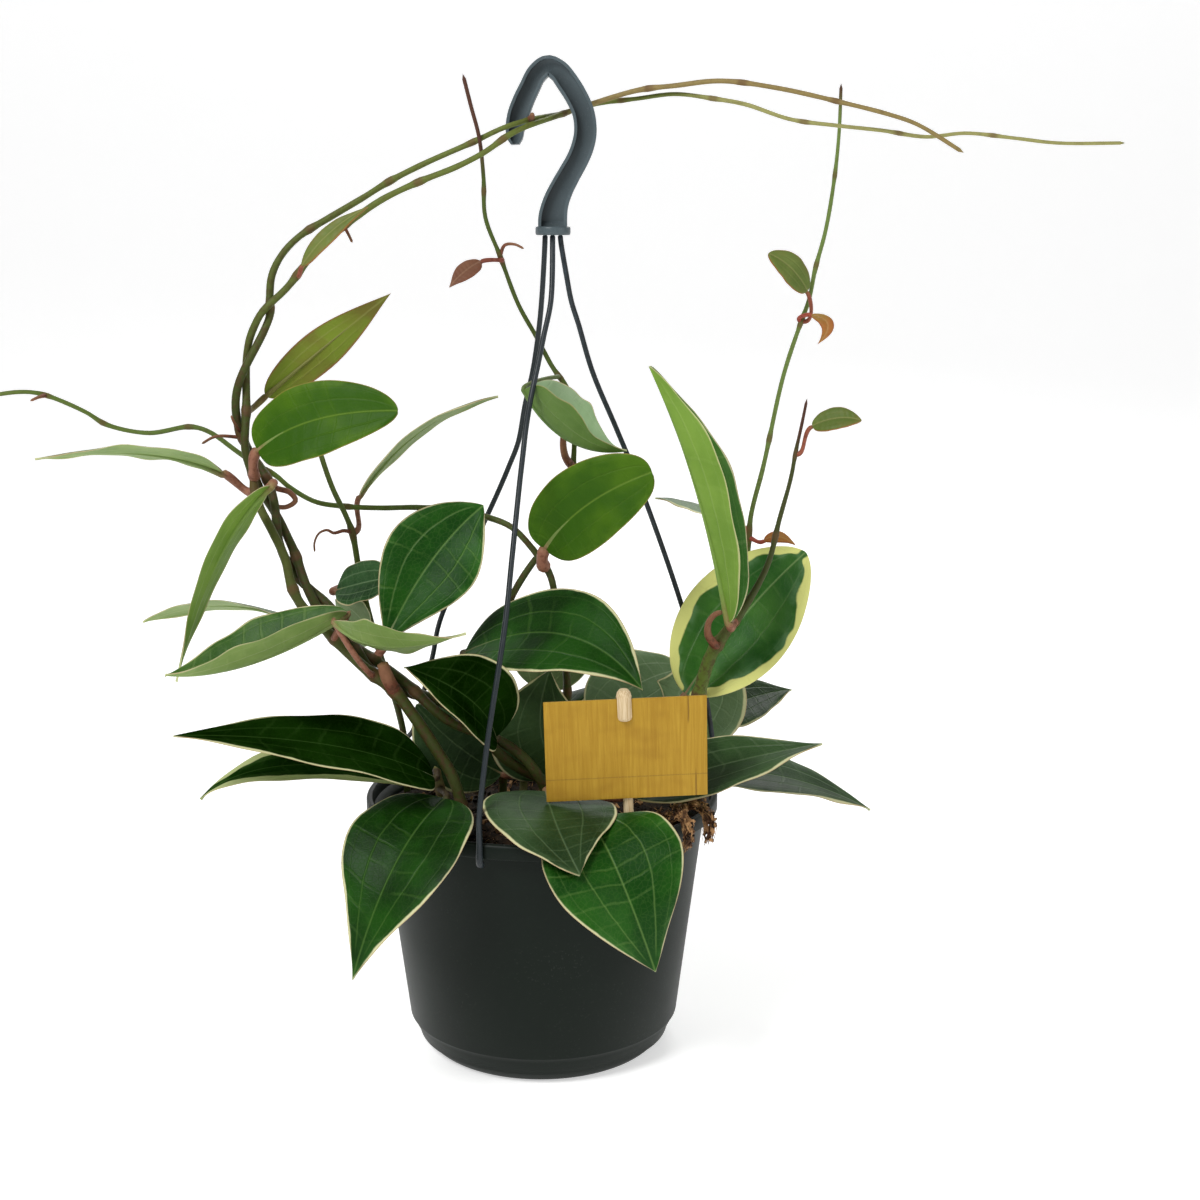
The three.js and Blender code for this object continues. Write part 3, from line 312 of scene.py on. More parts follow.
# %% [markdown]
# ## Writing shaders as sums
#
# Node trees for leaves grow large, so a small class wraps a socket and turns Python's plus,
# minus and times into Math nodes. Colours are mixed with a Mix node, because a Math node would
# turn them grey. One method makes every other kind of node.


# %% Sockets and paints
class Sock:
    """A node's output. Using it in an expression adds the Math nodes."""

    def __init__(self, paint, socket):
        self.paint, self.socket = paint, socket

    def math(self, operation, *values):
        return self.paint.node("ShaderNodeMath", {"operation": operation}, dict(enumerate(values)))

    def __abs__(self):
        return self.math("ABSOLUTE", self)

    def sine(self):
        return self.math("SINE", self)

    def rise(self, low, high):
        """0 below low, 1 above high, and smooth between."""
        return self.paint.node(
            "ShaderNodeMapRange",
            {"interpolation_type": "SMOOTHSTEP"},
            {"Value": self, "From Min": low, "From Max": high},
        )

    def near(self, width):
        """1 where the value is 0, fading out at the width to either side."""
        return 1 - abs(self).rise(0, width)


for sign, operation in (("add", "ADD"), ("sub", "SUBTRACT"), ("mul", "MULTIPLY")):
    setattr(Sock, f"__{sign}__", lambda a, b, name=operation: a.math(name, a, b))
    setattr(Sock, f"__r{sign}__", lambda a, b, name=operation: a.math(name, b, a))


class Paint:
    """One material. Constants are set on the shader's own sockets."""

    def __init__(self, name, **constants):
        self.material = bpy.data.materials.new(name)
        self.material.use_nodes = True
        self.tree = self.material.node_tree
        self.shader = self.tree.nodes["Principled BSDF"]
        for socket, value in constants.items():
            self.shader.inputs[socket.replace("_", " ")].default_value = value
        self.place = self.node("ShaderNodeTexCoord", output="Object")

    def node(self, kind, settings=None, sockets=None, output=0):
        """Makes any node: its settings first, then the values or links of its sockets."""
        made = self.tree.nodes.new(kind)
        for key, value in (settings or {}).items():
            setattr(made, key, value)
        for key, value in (sockets or {}).items():
            self.feed(made.inputs[key], value)
        return Sock(self, made.outputs[output])

    def feed(self, socket, value):
        if isinstance(value, Sock):
            self.tree.links.new(value.socket, socket)
        else:
            socket.default_value = value

    def mix(self, a, b, share):
        """Goes from colour a to colour b. Sockets 0, 6 and 7 are the share and the colours."""
        return self.node("ShaderNodeMix", {"data_type": "RGBA"}, {0: share, 6: a, 7: b}, output=2)

    def join(self, x, y, z=0.0):
        return self.node("ShaderNodeCombineXYZ", None, {0: x, 1: y, 2: z})

    def split(self, vector):
        made = self.node("ShaderNodeSeparateXYZ", None, {0: vector})
        return [Sock(self, socket) for socket in made.socket.node.outputs]

    def noise(self, scale, detail=3.0, place=None, distortion=0.0):
        sockets = {
            "Vector": place or self.place, "Scale": scale, "Detail": detail,
            "Roughness": NOISE_ROUGHNESS, "Distortion": distortion,
        }
        return self.node("ShaderNodeTexNoise", None, sockets)

    def skin(self):
        """The three numbers that every point of a leaf or stem carries."""
        made = self.node("ShaderNodeAttribute", {"attribute_name": "skin"}, output="Vector")
        return self.split(made)

    def finish(self, colour, roughness, height, depth=0.0002, strength=0.6):
        """Colour, roughness and a bump whose height is worth the depth in metres."""
        sockets = {"Height": height, "Distance": depth, "Strength": strength}
        bump = self.node("ShaderNodeBump", None, sockets)
        for name, value in (("Base Color", colour), ("Roughness", roughness), ("Normal", bump)):
            self.feed(self.shader.inputs[name], value)
        return self.material


NOISE_ROUGHNESS = 0.55


def rgb(code):
    """A shader colour from the six hexadecimal digits that a colour picker shows."""

    def linear(value):
        return value / 12.92 if value <= 0.04045 else ((value + 0.055) / 1.055) ** 2.4

    return (*(linear(int(code[k : k + 2], 16) / 255) for k in (0, 2, 4)), 1)


def shades(codes):
    return [rgb(code) for code in codes.split()]


print("mid grey:", round(rgb("808080")[0], 3))

# %% [markdown]
# ## Leaf paint
#
# The upper side is a deep green that pales a little towards an uneven cream margin with a thin
# tan rim. A midrib and one long side vein in each half run from base to tip, faint cross veins
# join them like crooked rungs, and a fine net fills what is left. All of it is drawn from the
# skin attribute, whose three numbers are the place across the blade from -1 to 1, the place
# along it from 0 to 1, and half the blade's width there in millimetres.


# %% Leaf paint
def vein_masks(paint, across, along, half):
    """Masks of the midrib, the side veins, the rungs between them and the fine net."""
    inner = abs(across)
    wide = half.rise(3, 9)
    drift = paint.noise(70, 3)
    middle = (across * half).near(0.7)
    bend = (drift - 0.5) * 0.1
    side = ((inner - 0.46 + bend) * half).near(0.6) * wide
    side = side + ((inner - 0.8 + bend) * half).near(0.45) * wide * 0.35
    wave = (along * 58 + inner * 3.4 + drift * 4).sine()
    shown = paint.noise(55, 2).rise(0.38, 0.6)
    rung = (wave - 0.84).rise(0, 0.16) * wide * shown
    cells = paint.node(
        "ShaderNodeTexVoronoi",
        {"feature": "DISTANCE_TO_EDGE"},
        {"Vector": paint.place, "Scale": 520},
    )
    net = (1 - cells.rise(0, 0.1)) * wide
    return middle, side, rung, net, wave


def margin_masks(paint, across, half, margin, uneven):
    """Masks of the cream margin, of the flush inside it, and of the rim."""
    edge = (1 - abs(across)) * half
    broad = paint.noise(36, 2)
    fine = paint.noise(240, 3)
    reach = (margin * ((broad - 0.5) * uneven + 0.85) + fine * 0.7 - 0.35) * half.rise(1, 8)
    cream = (reach - edge).rise(-0.5, 0.25)
    flush = (1 - (edge - reach).rise(0.2, 4.5)) * paint.noise(110, 3).rise(0.4, 0.62)
    rim = (1 - edge.rise(0.1, 0.5)) * half.rise(0.5, 3)
    return cream, flush, rim


def leaf_top(name, codes, margin, veining=1.0, uneven=3.2, gloss=0.38, shine=0.2):
    """The upper side of a leaf. The margin is the usual width of its cream edge in mm."""
    deep, fresh, vein, flushed, creamy, rimmed = [*shades(codes), CREAM, TAN][:6]
    paint = Paint("leaf_top_" + name, Specular_IOR_Level=shine)
    across, along, half = paint.skin()
    middle, side, rung, net, wave = vein_masks(paint, across, along, half)
    cream, flush, rim = margin_masks(paint, across, half, margin, uneven)
    blotch = paint.noise(38, 3).rise(0.36, 0.66)
    speckle = paint.noise(1400, 2)
    colour = paint.mix(deep, fresh, blotch * 0.8)
    # The flush is a paler zone inside the cream margin. On the broad leaf its tint is also painted
    # sheen.
    colour = paint.mix(colour, flushed, flush * 0.5)
    colour = paint.mix(colour, vein, (rung * 0.2 + net * 0.08) * veining)
    colour = paint.mix(colour, vein, side * 0.38 * veining)
    colour = paint.mix(colour, vein, middle * 0.55)
    colour = paint.mix(colour, creamy, cream)
    colour = paint.mix(colour, rimmed, rim * 0.6)
    rough = gloss + speckle * 0.12 + cream * 0.08
    height = wave * 0.16 - middle * 0.9 - side * 0.6 - rung * 0.4 - net * 0.1 + speckle * 0.1
    return paint.finish(colour, rough, height, depth=0.0004, strength=0.7)


def leaf_under(name, codes):
    """The underside, paler and duller, with veins that stand out from it."""
    pale, shade, vein, rimmed = shades(codes)
    paint = Paint("leaf_under_" + name, Specular_IOR_Level=0.2)
    across, along, half = paint.skin()
    middle, side, rung, net, _ = vein_masks(paint, across, along, half)
    cream, _, rim = margin_masks(paint, across, half, 0.7, 2)
    mottle = paint.noise(60, 3).rise(0.35, 0.68)
    colour = paint.mix(pale, shade, mottle * 0.7)
    colour = paint.mix(colour, vein, side * 0.3 + rung * 0.1 + net * 0.05)
    colour = paint.mix(colour, vein, middle * 0.5)
    colour = paint.mix(colour, rimmed, cream * 0.6 + rim * 0.3)
    height = middle * 0.8 + side * 0.7 + rung * 0.35 + paint.noise(900, 2) * 0.2
    return paint.finish(colour, paint.noise(500, 2) * 0.15 + 0.5, height, depth=0.0003)


def stalk_paint(name, codes):
    """A leaf stalk, flushed pink and corky, that turns into the green rib under the blade."""
    foot, rib, cork = shades(codes)
    paint = Paint("stalk_" + name, Specular_IOR_Level=0.3)
    around, along, _ = paint.skin()
    bare = 1 - along.rise(0.4, 0.56)
    streak = paint.noise(1.0, 4, paint.join(around * 9, along * 40))
    freckle = paint.noise(520, 3)
    colour = paint.mix(rib, foot, bare)
    colour = paint.mix(colour, cork, (freckle - 0.5).rise(0.0, 0.14) * bare * 0.6)
    colour = paint.mix(colour, cork, (streak - 0.5).rise(0.02, 0.2) * bare * 0.4)
    return paint.finish(colour, freckle * 0.2 + 0.45, freckle * 0.8 + streak * 0.5, depth=0.00025)


CREAM = rgb("cecd9e")
TAN = rgb("a67e5e")
SHARED_UNDERSIDES = {"sage": leaf_under("sage", "708458 587042 8c9c6e cecd9e")}
SHARED_STALKS = {
    "sage": stalk_paint("sage", "92624c 687c4e 683a2c"),
    "dark": stalk_paint("dark", "463a24 56683c 34241a"),
}
# The shades of the upper side (deep, fresh, vein, flush, and cream and rim where they differ),
# of the underside (pale, shade, vein, rim) and of the stalk (foot, rib, cork), or the name of a
# shared one; then the margin's width, and what else differs in the upper side.
LEAF_SHADES = {
    "green": ("082a00 1b4a08 507432 2a581a", "sage", "dark", 0.9, dict(veining=0.85, shine=0.12)),
    # The dark kind is a darker copy of the green one for leaves that turn away from the light:
    # partly their own deep green, partly painted shade.
    "dark": (
        "061900 143006 365224 203c10", "sage", "dark", 0.9, dict(veining=0.8, gloss=0.6, shine=0)
    ),
    "mid": ("0c3c02 22580e 6a8e46 386a26", "sage", "sage", 0.6, dict(shine=0.16)),
    "grey": ("1e3616 36522a 5e764e 466038", "sage", "sage", 0.9, dict(gloss=0.46)),
    "sage": ("58724c 728a64 8ea27c 768c64", "sage", "sage", 1.2, dict(gloss=0.46)),
    "mottled": ("0e340a 466e40 708e60 3c6232", "sage", "sage", 0.5, dict(gloss=0.46)),
    "edged": (
        "0a2404 1e3e0e 3e5c2c 3c5828 b2ba84 bea880", "sage", "dark", 5,
        dict(veining=0.6, uneven=1.6, shine=0),
    ),
    # The broad leaf's pale grey-green flush inside its cream margin is partly its own paler zone
    # and partly painted sheen.
    "broad": (
        "18520a 427426 809e5c 688e62 dcde84 d8d08c", "8e9c5c 74884c a8ac74 d6d28c", "sage", 6.4,
        dict(veining=0.35, uneven=2.6, shine=0.3),
    ),
    "oval": (
        "2e5403 466a08 6c8a30 547618 8c923c 8c743c", "789050 627c3a 92a260 aaa86e",
        "92624c 6e8442 683a2c", 0.1, dict(veining=0.2, gloss=0.46, shine=0.14),
    ),
    "pale": (
        "264e16 406822 84a056 5a7c36", "829a54 6a8640 9eaa70 ccc696", "92624c 7c9252 683a2c",
        0.8, {},
    ),
    "tall": (
        "2a620e 447a1c 789854 467432", "789a3c 64882e 96ae5e cecc96", "92624c 769442 683a2c",
        0.8, {},
    ),
    # The folded leaf's upper side is a pale blue-green: a painted reflection on the glossy far half
    # of the fold.
    "folded": (
        "8aa67a a0b892 b2c4a0 a8bc96", "607e3a 4c6c2a 7c9454 aaa06e", "5c6e38 5e7c3c 5a5432",
        0.6, dict(veining=0.4),
    ),
    "red": (
        "684e24 708028 8c8c4c 785c32 966e46 884e34", "748628 6e5c2a 90924c 8c583c",
        "706432 747638 603c28", 0.3, dict(veining=0.4),
    ),
    "young": (
        "586a2c 707e3c 8c8c54 786e3a 966e3c a65c30", "7e8248 6e703a 96925c a0643c",
        "92503a 847c46 6e382a", 0.2, dict(veining=0.5, gloss=0.44),
    ),
    "blush": (
        "684232 805c46 927058 784e3a 865c44 723e2e", "825e48 6e4636 927058 7c4836",
        "7e4232 865842 602e22", 0.2, dict(veining=0.5, gloss=0.44),
    ),
    "orange": (
        "a85c2c 927e3c b28650 a05632 aa683c a04e32", "aa6c3a 967a3e b68c58 a85a38",
        "a04836 a0603c 783428", 0.2, dict(veining=0.5, gloss=0.44),
    ),
}
LEAF_PAINTS = {
    kind: (
        leaf_top(kind, top, margin, **others),
        SHARED_UNDERSIDES.get(under) or leaf_under(kind, under),
        SHARED_STALKS.get(stalk) or stalk_paint(kind, stalk),
    )
    for kind, (top, under, stalk, margin, others) in LEAF_SHADES.items()
}
print("leaf paints:", ", ".join(LEAF_PAINTS))

# %% [markdown]
# ## Paint for vines
#
# Old vine is dark olive and rough with brown cork. Young vine is a smoother light green, and
# the last few centimetres, where it still grows, are flushed dark red on some and yellow-green
# on others. So a vine's paint takes three colours that follow each other from foot to tip, and
# a brown for its joints.


# %% Paint for vines
def vine_paint(name, codes, tip_from=0.9):
    old, young, tip = shades(codes)
    cork, joint_brown = shades("4a321e 62422a")
    paint = Paint(name, Specular_IOR_Level=0.25)
    around, along, joint = paint.skin()
    aged = 1 - along.rise(0.3, 0.6)
    colour = paint.mix(young, old, aged)
    colour = paint.mix(colour, tip, along.rise(tip_from, tip_from + 0.05))
    streak = paint.noise(1.0, 4, paint.join(around * 7, along * 160))
    freckle = paint.noise(480, 4)
    rough = (freckle - 0.5).rise(-0.02, 0.1)
    colour = paint.mix(colour, cork, rough * (aged * 0.55 + 0.12))
    colour = paint.mix(colour, cork, (streak - 0.5).rise(0.02, 0.2) * 0.35)
    colour = paint.mix(colour, joint_brown, joint.rise(0.25, 0.9) * 0.6)
    height = freckle * (aged * 0.8 + 0.4) + streak * 0.6
    return paint.finish(colour, freckle * 0.2 + 0.48, height, depth=0.0004)


# The old, young and tip shades of each vine, and where its tip starts
VINE_SHADES = {
    "vine_left_main": ("3a4216 606c2c 8c7a4a", 0.7),
    "vine_left_second": ("384016 647030 98965c", 0.72),
    "vine_left_short": ("3c4418 4a521e 685032", 0.94),
    "vine_across": ("404a1c 586c2a 607030", 0.95),
    "vine_centre": ("3c481a 485a20 4e3024", 0.87),
    "stem_left_inner": ("3c481a 546428 646832", 0.9),
    "vine_right_long": ("4c5c24 687e3e 4e3024", 0.95),
    "vine_right_short": ("5c6e28 3e461e 4e3024", 0.88),
}
VINE_PAINTS = {name: vine_paint(name, *row) for name, row in VINE_SHADES.items()}
SHOOT = vine_paint("shoot", "7a4834 865c42 8e684a")
CROWN = vine_paint("crown_stem", "544e30 6e703e 6e703e")
print("vine paints:", ", ".join(VINE_PAINTS))

# %% [markdown]
# ## The stems
#
# Every stem is a line from its foot in the soil to its tip. The two left vines wind round each
# other: one shared line is drawn first, and each strand circles it half a turn away from the
# other. These are the same points that the solids were made from.

# %% The stems
FOOT_Z = 94  # every stem goes straight down to here, in its hole in the soil
BUNDLE = [
    [5, -22, 105], [3.4, -24, 117], [-3, -27, 126], [-14.3, -30, 136.5], [-28, -34, 147.6],
    [-48, -38, 162], [-63, -37, 171], [-73.4, -34, 180.5], [-86, -29.5, 195],
    [-96.5, -25.5, 208], [-103, -22, 221], [-107.5, -19, 235], [-113, -16, 247],
    [-119, -13, 259], [-121, -11, 274], [-120, -10, 286], [-116, -9, 300], [-110, -8, 313],
]
BUNDLE_SPREAD = [2.7, 2.5, 2.2, 2.1]
BUNDLE_TURNS = 4.2
BUNDLE_STEPS = 44


def wound_strand(phase):
    """The points of one strand of the twisted pair, from the soil up."""
    line = Line(BUNDLE)
    shares = [k / BUNDLE_STEPS for k in range(BUNDLE_STEPS + 1)]
    directions = [line.along(share) for share in shares]
    points = []
    for k, normal in enumerate(carried_normals(directions)):
        offset = spoke(directions[k], normal, phase + 2 * math.pi * BUNDLE_TURNS * k / BUNDLE_STEPS)
        points.append(line.at(shares[k]) + offset * between(BUNDLE_SPREAD, shares[k]))
    return points


LEFT_MAIN_END = [
    [-101, -8, 323.5], [-92, -8, 334.5], [-83, -8, 343.2], [-73, -8, 350.8], [-62, -8, 358],
    [-46, -10, 365.2], [-32, -13, 370.4], [-20.5, -15.5, 376], [-11, -16.5, 382.4],
    [-4, -12, 386], [4, 0, 389.5], [12, 11, 393], [22, 14, 396.5], [40, 12, 401.5],
    [55, 8, 403], [73, 4, 404.5], [95, 0, 401.5], [119, -4, 396], [138, -8, 391],
    [150, -8, 387], [169, -8, 376],
]
LEFT_SECOND_END = [
    [-109, -4, 319], [-108, -3, 328], [-104, -2, 336], [-97, 0, 343.4], [-84, 2, 351.4],
    [-71, 2, 358.8], [-60, 0, 365.2], [-45, -4, 372.2], [-26, -8, 380], [-13, -11, 385.6],
    [-4, -7, 388.6], [4, 4.6, 391], [11, 15.5, 393], [23, 18, 396.5], [40, 15.5, 398.5],
    [55, 12, 400], [70, 8, 398], [83, 6, 395.6], [101, 2, 389.5], [119, 0, 387], [138, 0, 385],
    [155, 0, 382.6], [171, 0, 384], [190, -2, 382], [207, -4, 380], [234, -4, 380],
]

# name: points from the soil up, and radii at equal shares of the length from the foot to the tip
STEMS = {
    "vine_left_main": ([*wound_strand(0), *LEFT_MAIN_END], [2.2, 2.1, 1.8, 1.4, 1.1, 1, 0.8]),
    "vine_left_second": (
        [*wound_strand(math.pi), *LEFT_SECOND_END], [2.2, 2.1, 1.8, 1.3, 0.9, 0.8, 0.7],
    ),
    "vine_left_short": ([[-31, -42, 112], [-32.4, -42.5, 121], [-35.4, -43.4, 130.5],
        [-41.2, -44.4, 141.2], [-49.6, -45.4, 155], [-57.5, -45, 165.6], [-70, -42.4, 175],
        [-80, -39.5, 184], [-88, -38, 192], [-95, -36.5, 199], [-99, -34.5, 207],
        [-101.5, -32, 217], [-107, -29, 228], [-112, -26, 237], [-114.5, -23.5, 245],
        [-114, -21.5, 253]], [2.3, 2.4, 2, 1.5]),
    "vine_across": ([[10, 4, 112], [11, 0, 150], [9, -5, 180], [6, -8, 197], [4, -9, 206],
        [0, -9, 212.5], [-4, -9, 218], [-12, -8, 226], [-24, -4, 230], [-36, 2, 231.5],
        [-52, 6, 232], [-68, 8, 231.5], [-83, 6, 232.5], [-94, 2, 235], [-104, -3, 242],
        [-109, -5, 247], [-117, -5.5, 251.5], [-125, -4, 257], [-136, -2, 264.5],
        [-144, 0, 266.5], [-163, 4, 263.5], [-180, 4, 267], [-188, 2, 272.5], [-205, 0, 280],
        [-213, -2, 281], [-226, -4, 279.5]], [1.6, 1.5, 1.1, 1, 0.9]),
    "vine_centre": ([[-17, 2, 112], [-17, -2, 150], [-18, -4, 176], [-13, -4, 194],
        [-3, -3, 210.5], [4, -1, 218], [9, 1, 232], [13, 2, 247], [14, 4, 258], [14, 7, 269],
        [11.6, 10.5, 280.3], [4.6, 13.5, 290.5], [-1.8, 13.6, 302.6], [-9, 10, 316],
        [-16, 3, 335.8], [-21.4, -3, 351.2], [-21.6, -8, 366.5], [-22.9, -12, 381.8],
        [-26, -12, 393.9], [-29, -12, 406]], [1.7, 1.6, 1.1, 0.9, 0.8]),
    "stem_left_inner": ([[-60, 17, 112], [-60.8, 15, 131], [-64, 11, 149], [-69.6, 7, 170],
        [-76, 4, 200], [-79, 2, 222], [-81, 0, 229], [-86, -2, 241], [-90, -3, 254],
        [-93, -3, 266], [-94.5, -2, 274]], [1.5, 1.4, 1]),
    "vine_right_long": ([[52, 38, 108], [53, 39, 126], [60, 42, 144], [73, 40, 162],
        [84, 37, 182], [89, 34, 205], [90.4, 34, 224], [95.5, 34, 246], [103.4, 34, 285],
        [110.2, 34, 307], [113.6, 34, 317], [116, 34, 330], [120, 34, 346], [123, 34, 366],
        [124.6, 34, 385], [125, 34, 406]], [1.6, 1.3, 1, 0.9, 0.7]),
    "vine_right_short": ([[60, -6, 110], [63, -6, 124], [64.4, -7, 141], [66.6, -8, 156],
        [71.4, -10, 173], [77, -11, 182], [86, -11, 195], [94, -11, 211], [98.4, -10, 229],
        [103, -8, 246], [105, -8, 258], [107, -8, 268], [109, -8, 279]],
        [2.6, 2.7, 2.7, 1.3, 0.9, 0.6]),
    "crown_left": ([[-40, -32, 112], [-41, -33, 122], [-43, -33, 131]], [1.9, 1.5]),
    "crown_front": ([[20, -40, 108], [21, -41, 115], [23, -42, 121]], [1.9, 1.5]),
    "crown_centre": ([[-8, -8, 110], [-7, -7, 122], [-4, -5, 136]], [1.9, 1.5]),
    "crown_right": ([[42, 8, 108], [44, 9, 120], [48, 11, 130]], [1.9, 1.5]),
    "crown_back": ([[0, 44, 108], [-1, 46, 122], [-3, 48, 136]], [1.9, 1.5]),
}
STEM_LINES = {
    name: Line([(points[0][0], points[0][1], FOOT_Z), *points])
    for name, (points, _) in STEMS.items()
}
SEARCH_STEPS = 400


def place_on_stem(name, near):
    """The share of the stem's length nearest to a point, the place there and the way out."""
    line = STEM_LINES[name]
    near = Vector(near)
    shares = (k / SEARCH_STEPS for k in range(SEARCH_STEPS + 1))
    share = min(shares, key=lambda s: (line.at(s) - near).length)
    centre, along = line.at(share), line.along(share)
    outward = near - centre
    outward -= along * outward.dot(along)
    return share, centre, outward.normalized()


for name, line in STEM_LINES.items():
    print(name, round(line.length), "mm long")

# %% [markdown]
# ## The leaves
#
# A leaf is a table row: which stem it grows on, the base, middle and tip of its midrib, the way
# its upper side faces, its width, and then what differs from the usual leaf, such as how far its
# halves fold up and which paint it takes. Rows keep thirty-three leaves readable, and one
# function turns each into a blade with its stalk.


# %% The table of leaves
def leaf(on, base, mid, tip, face, width, **others):
    """A row of the table. Its stalk starts at the place on the stem that is nearest to near."""
    usual = dict(
        near=base, fold=[8, 8], twist=0, shoulder=0.8, round=0.6, taper=1.05, petiole=1.6,
        spring=0.35, lead=0.4, paint="green",
    )
    return dict(on=on, base=base, mid=mid, tip=tip, face=face, width=width, **{**usual, **others})


def young_leaf(on, base, mid, tip, width, **others):
    young = dict(petiole=0.8, paint="young")
    return leaf(on, base, mid, tip, [0, -0.8, 0.6], width, **{**young, **others})


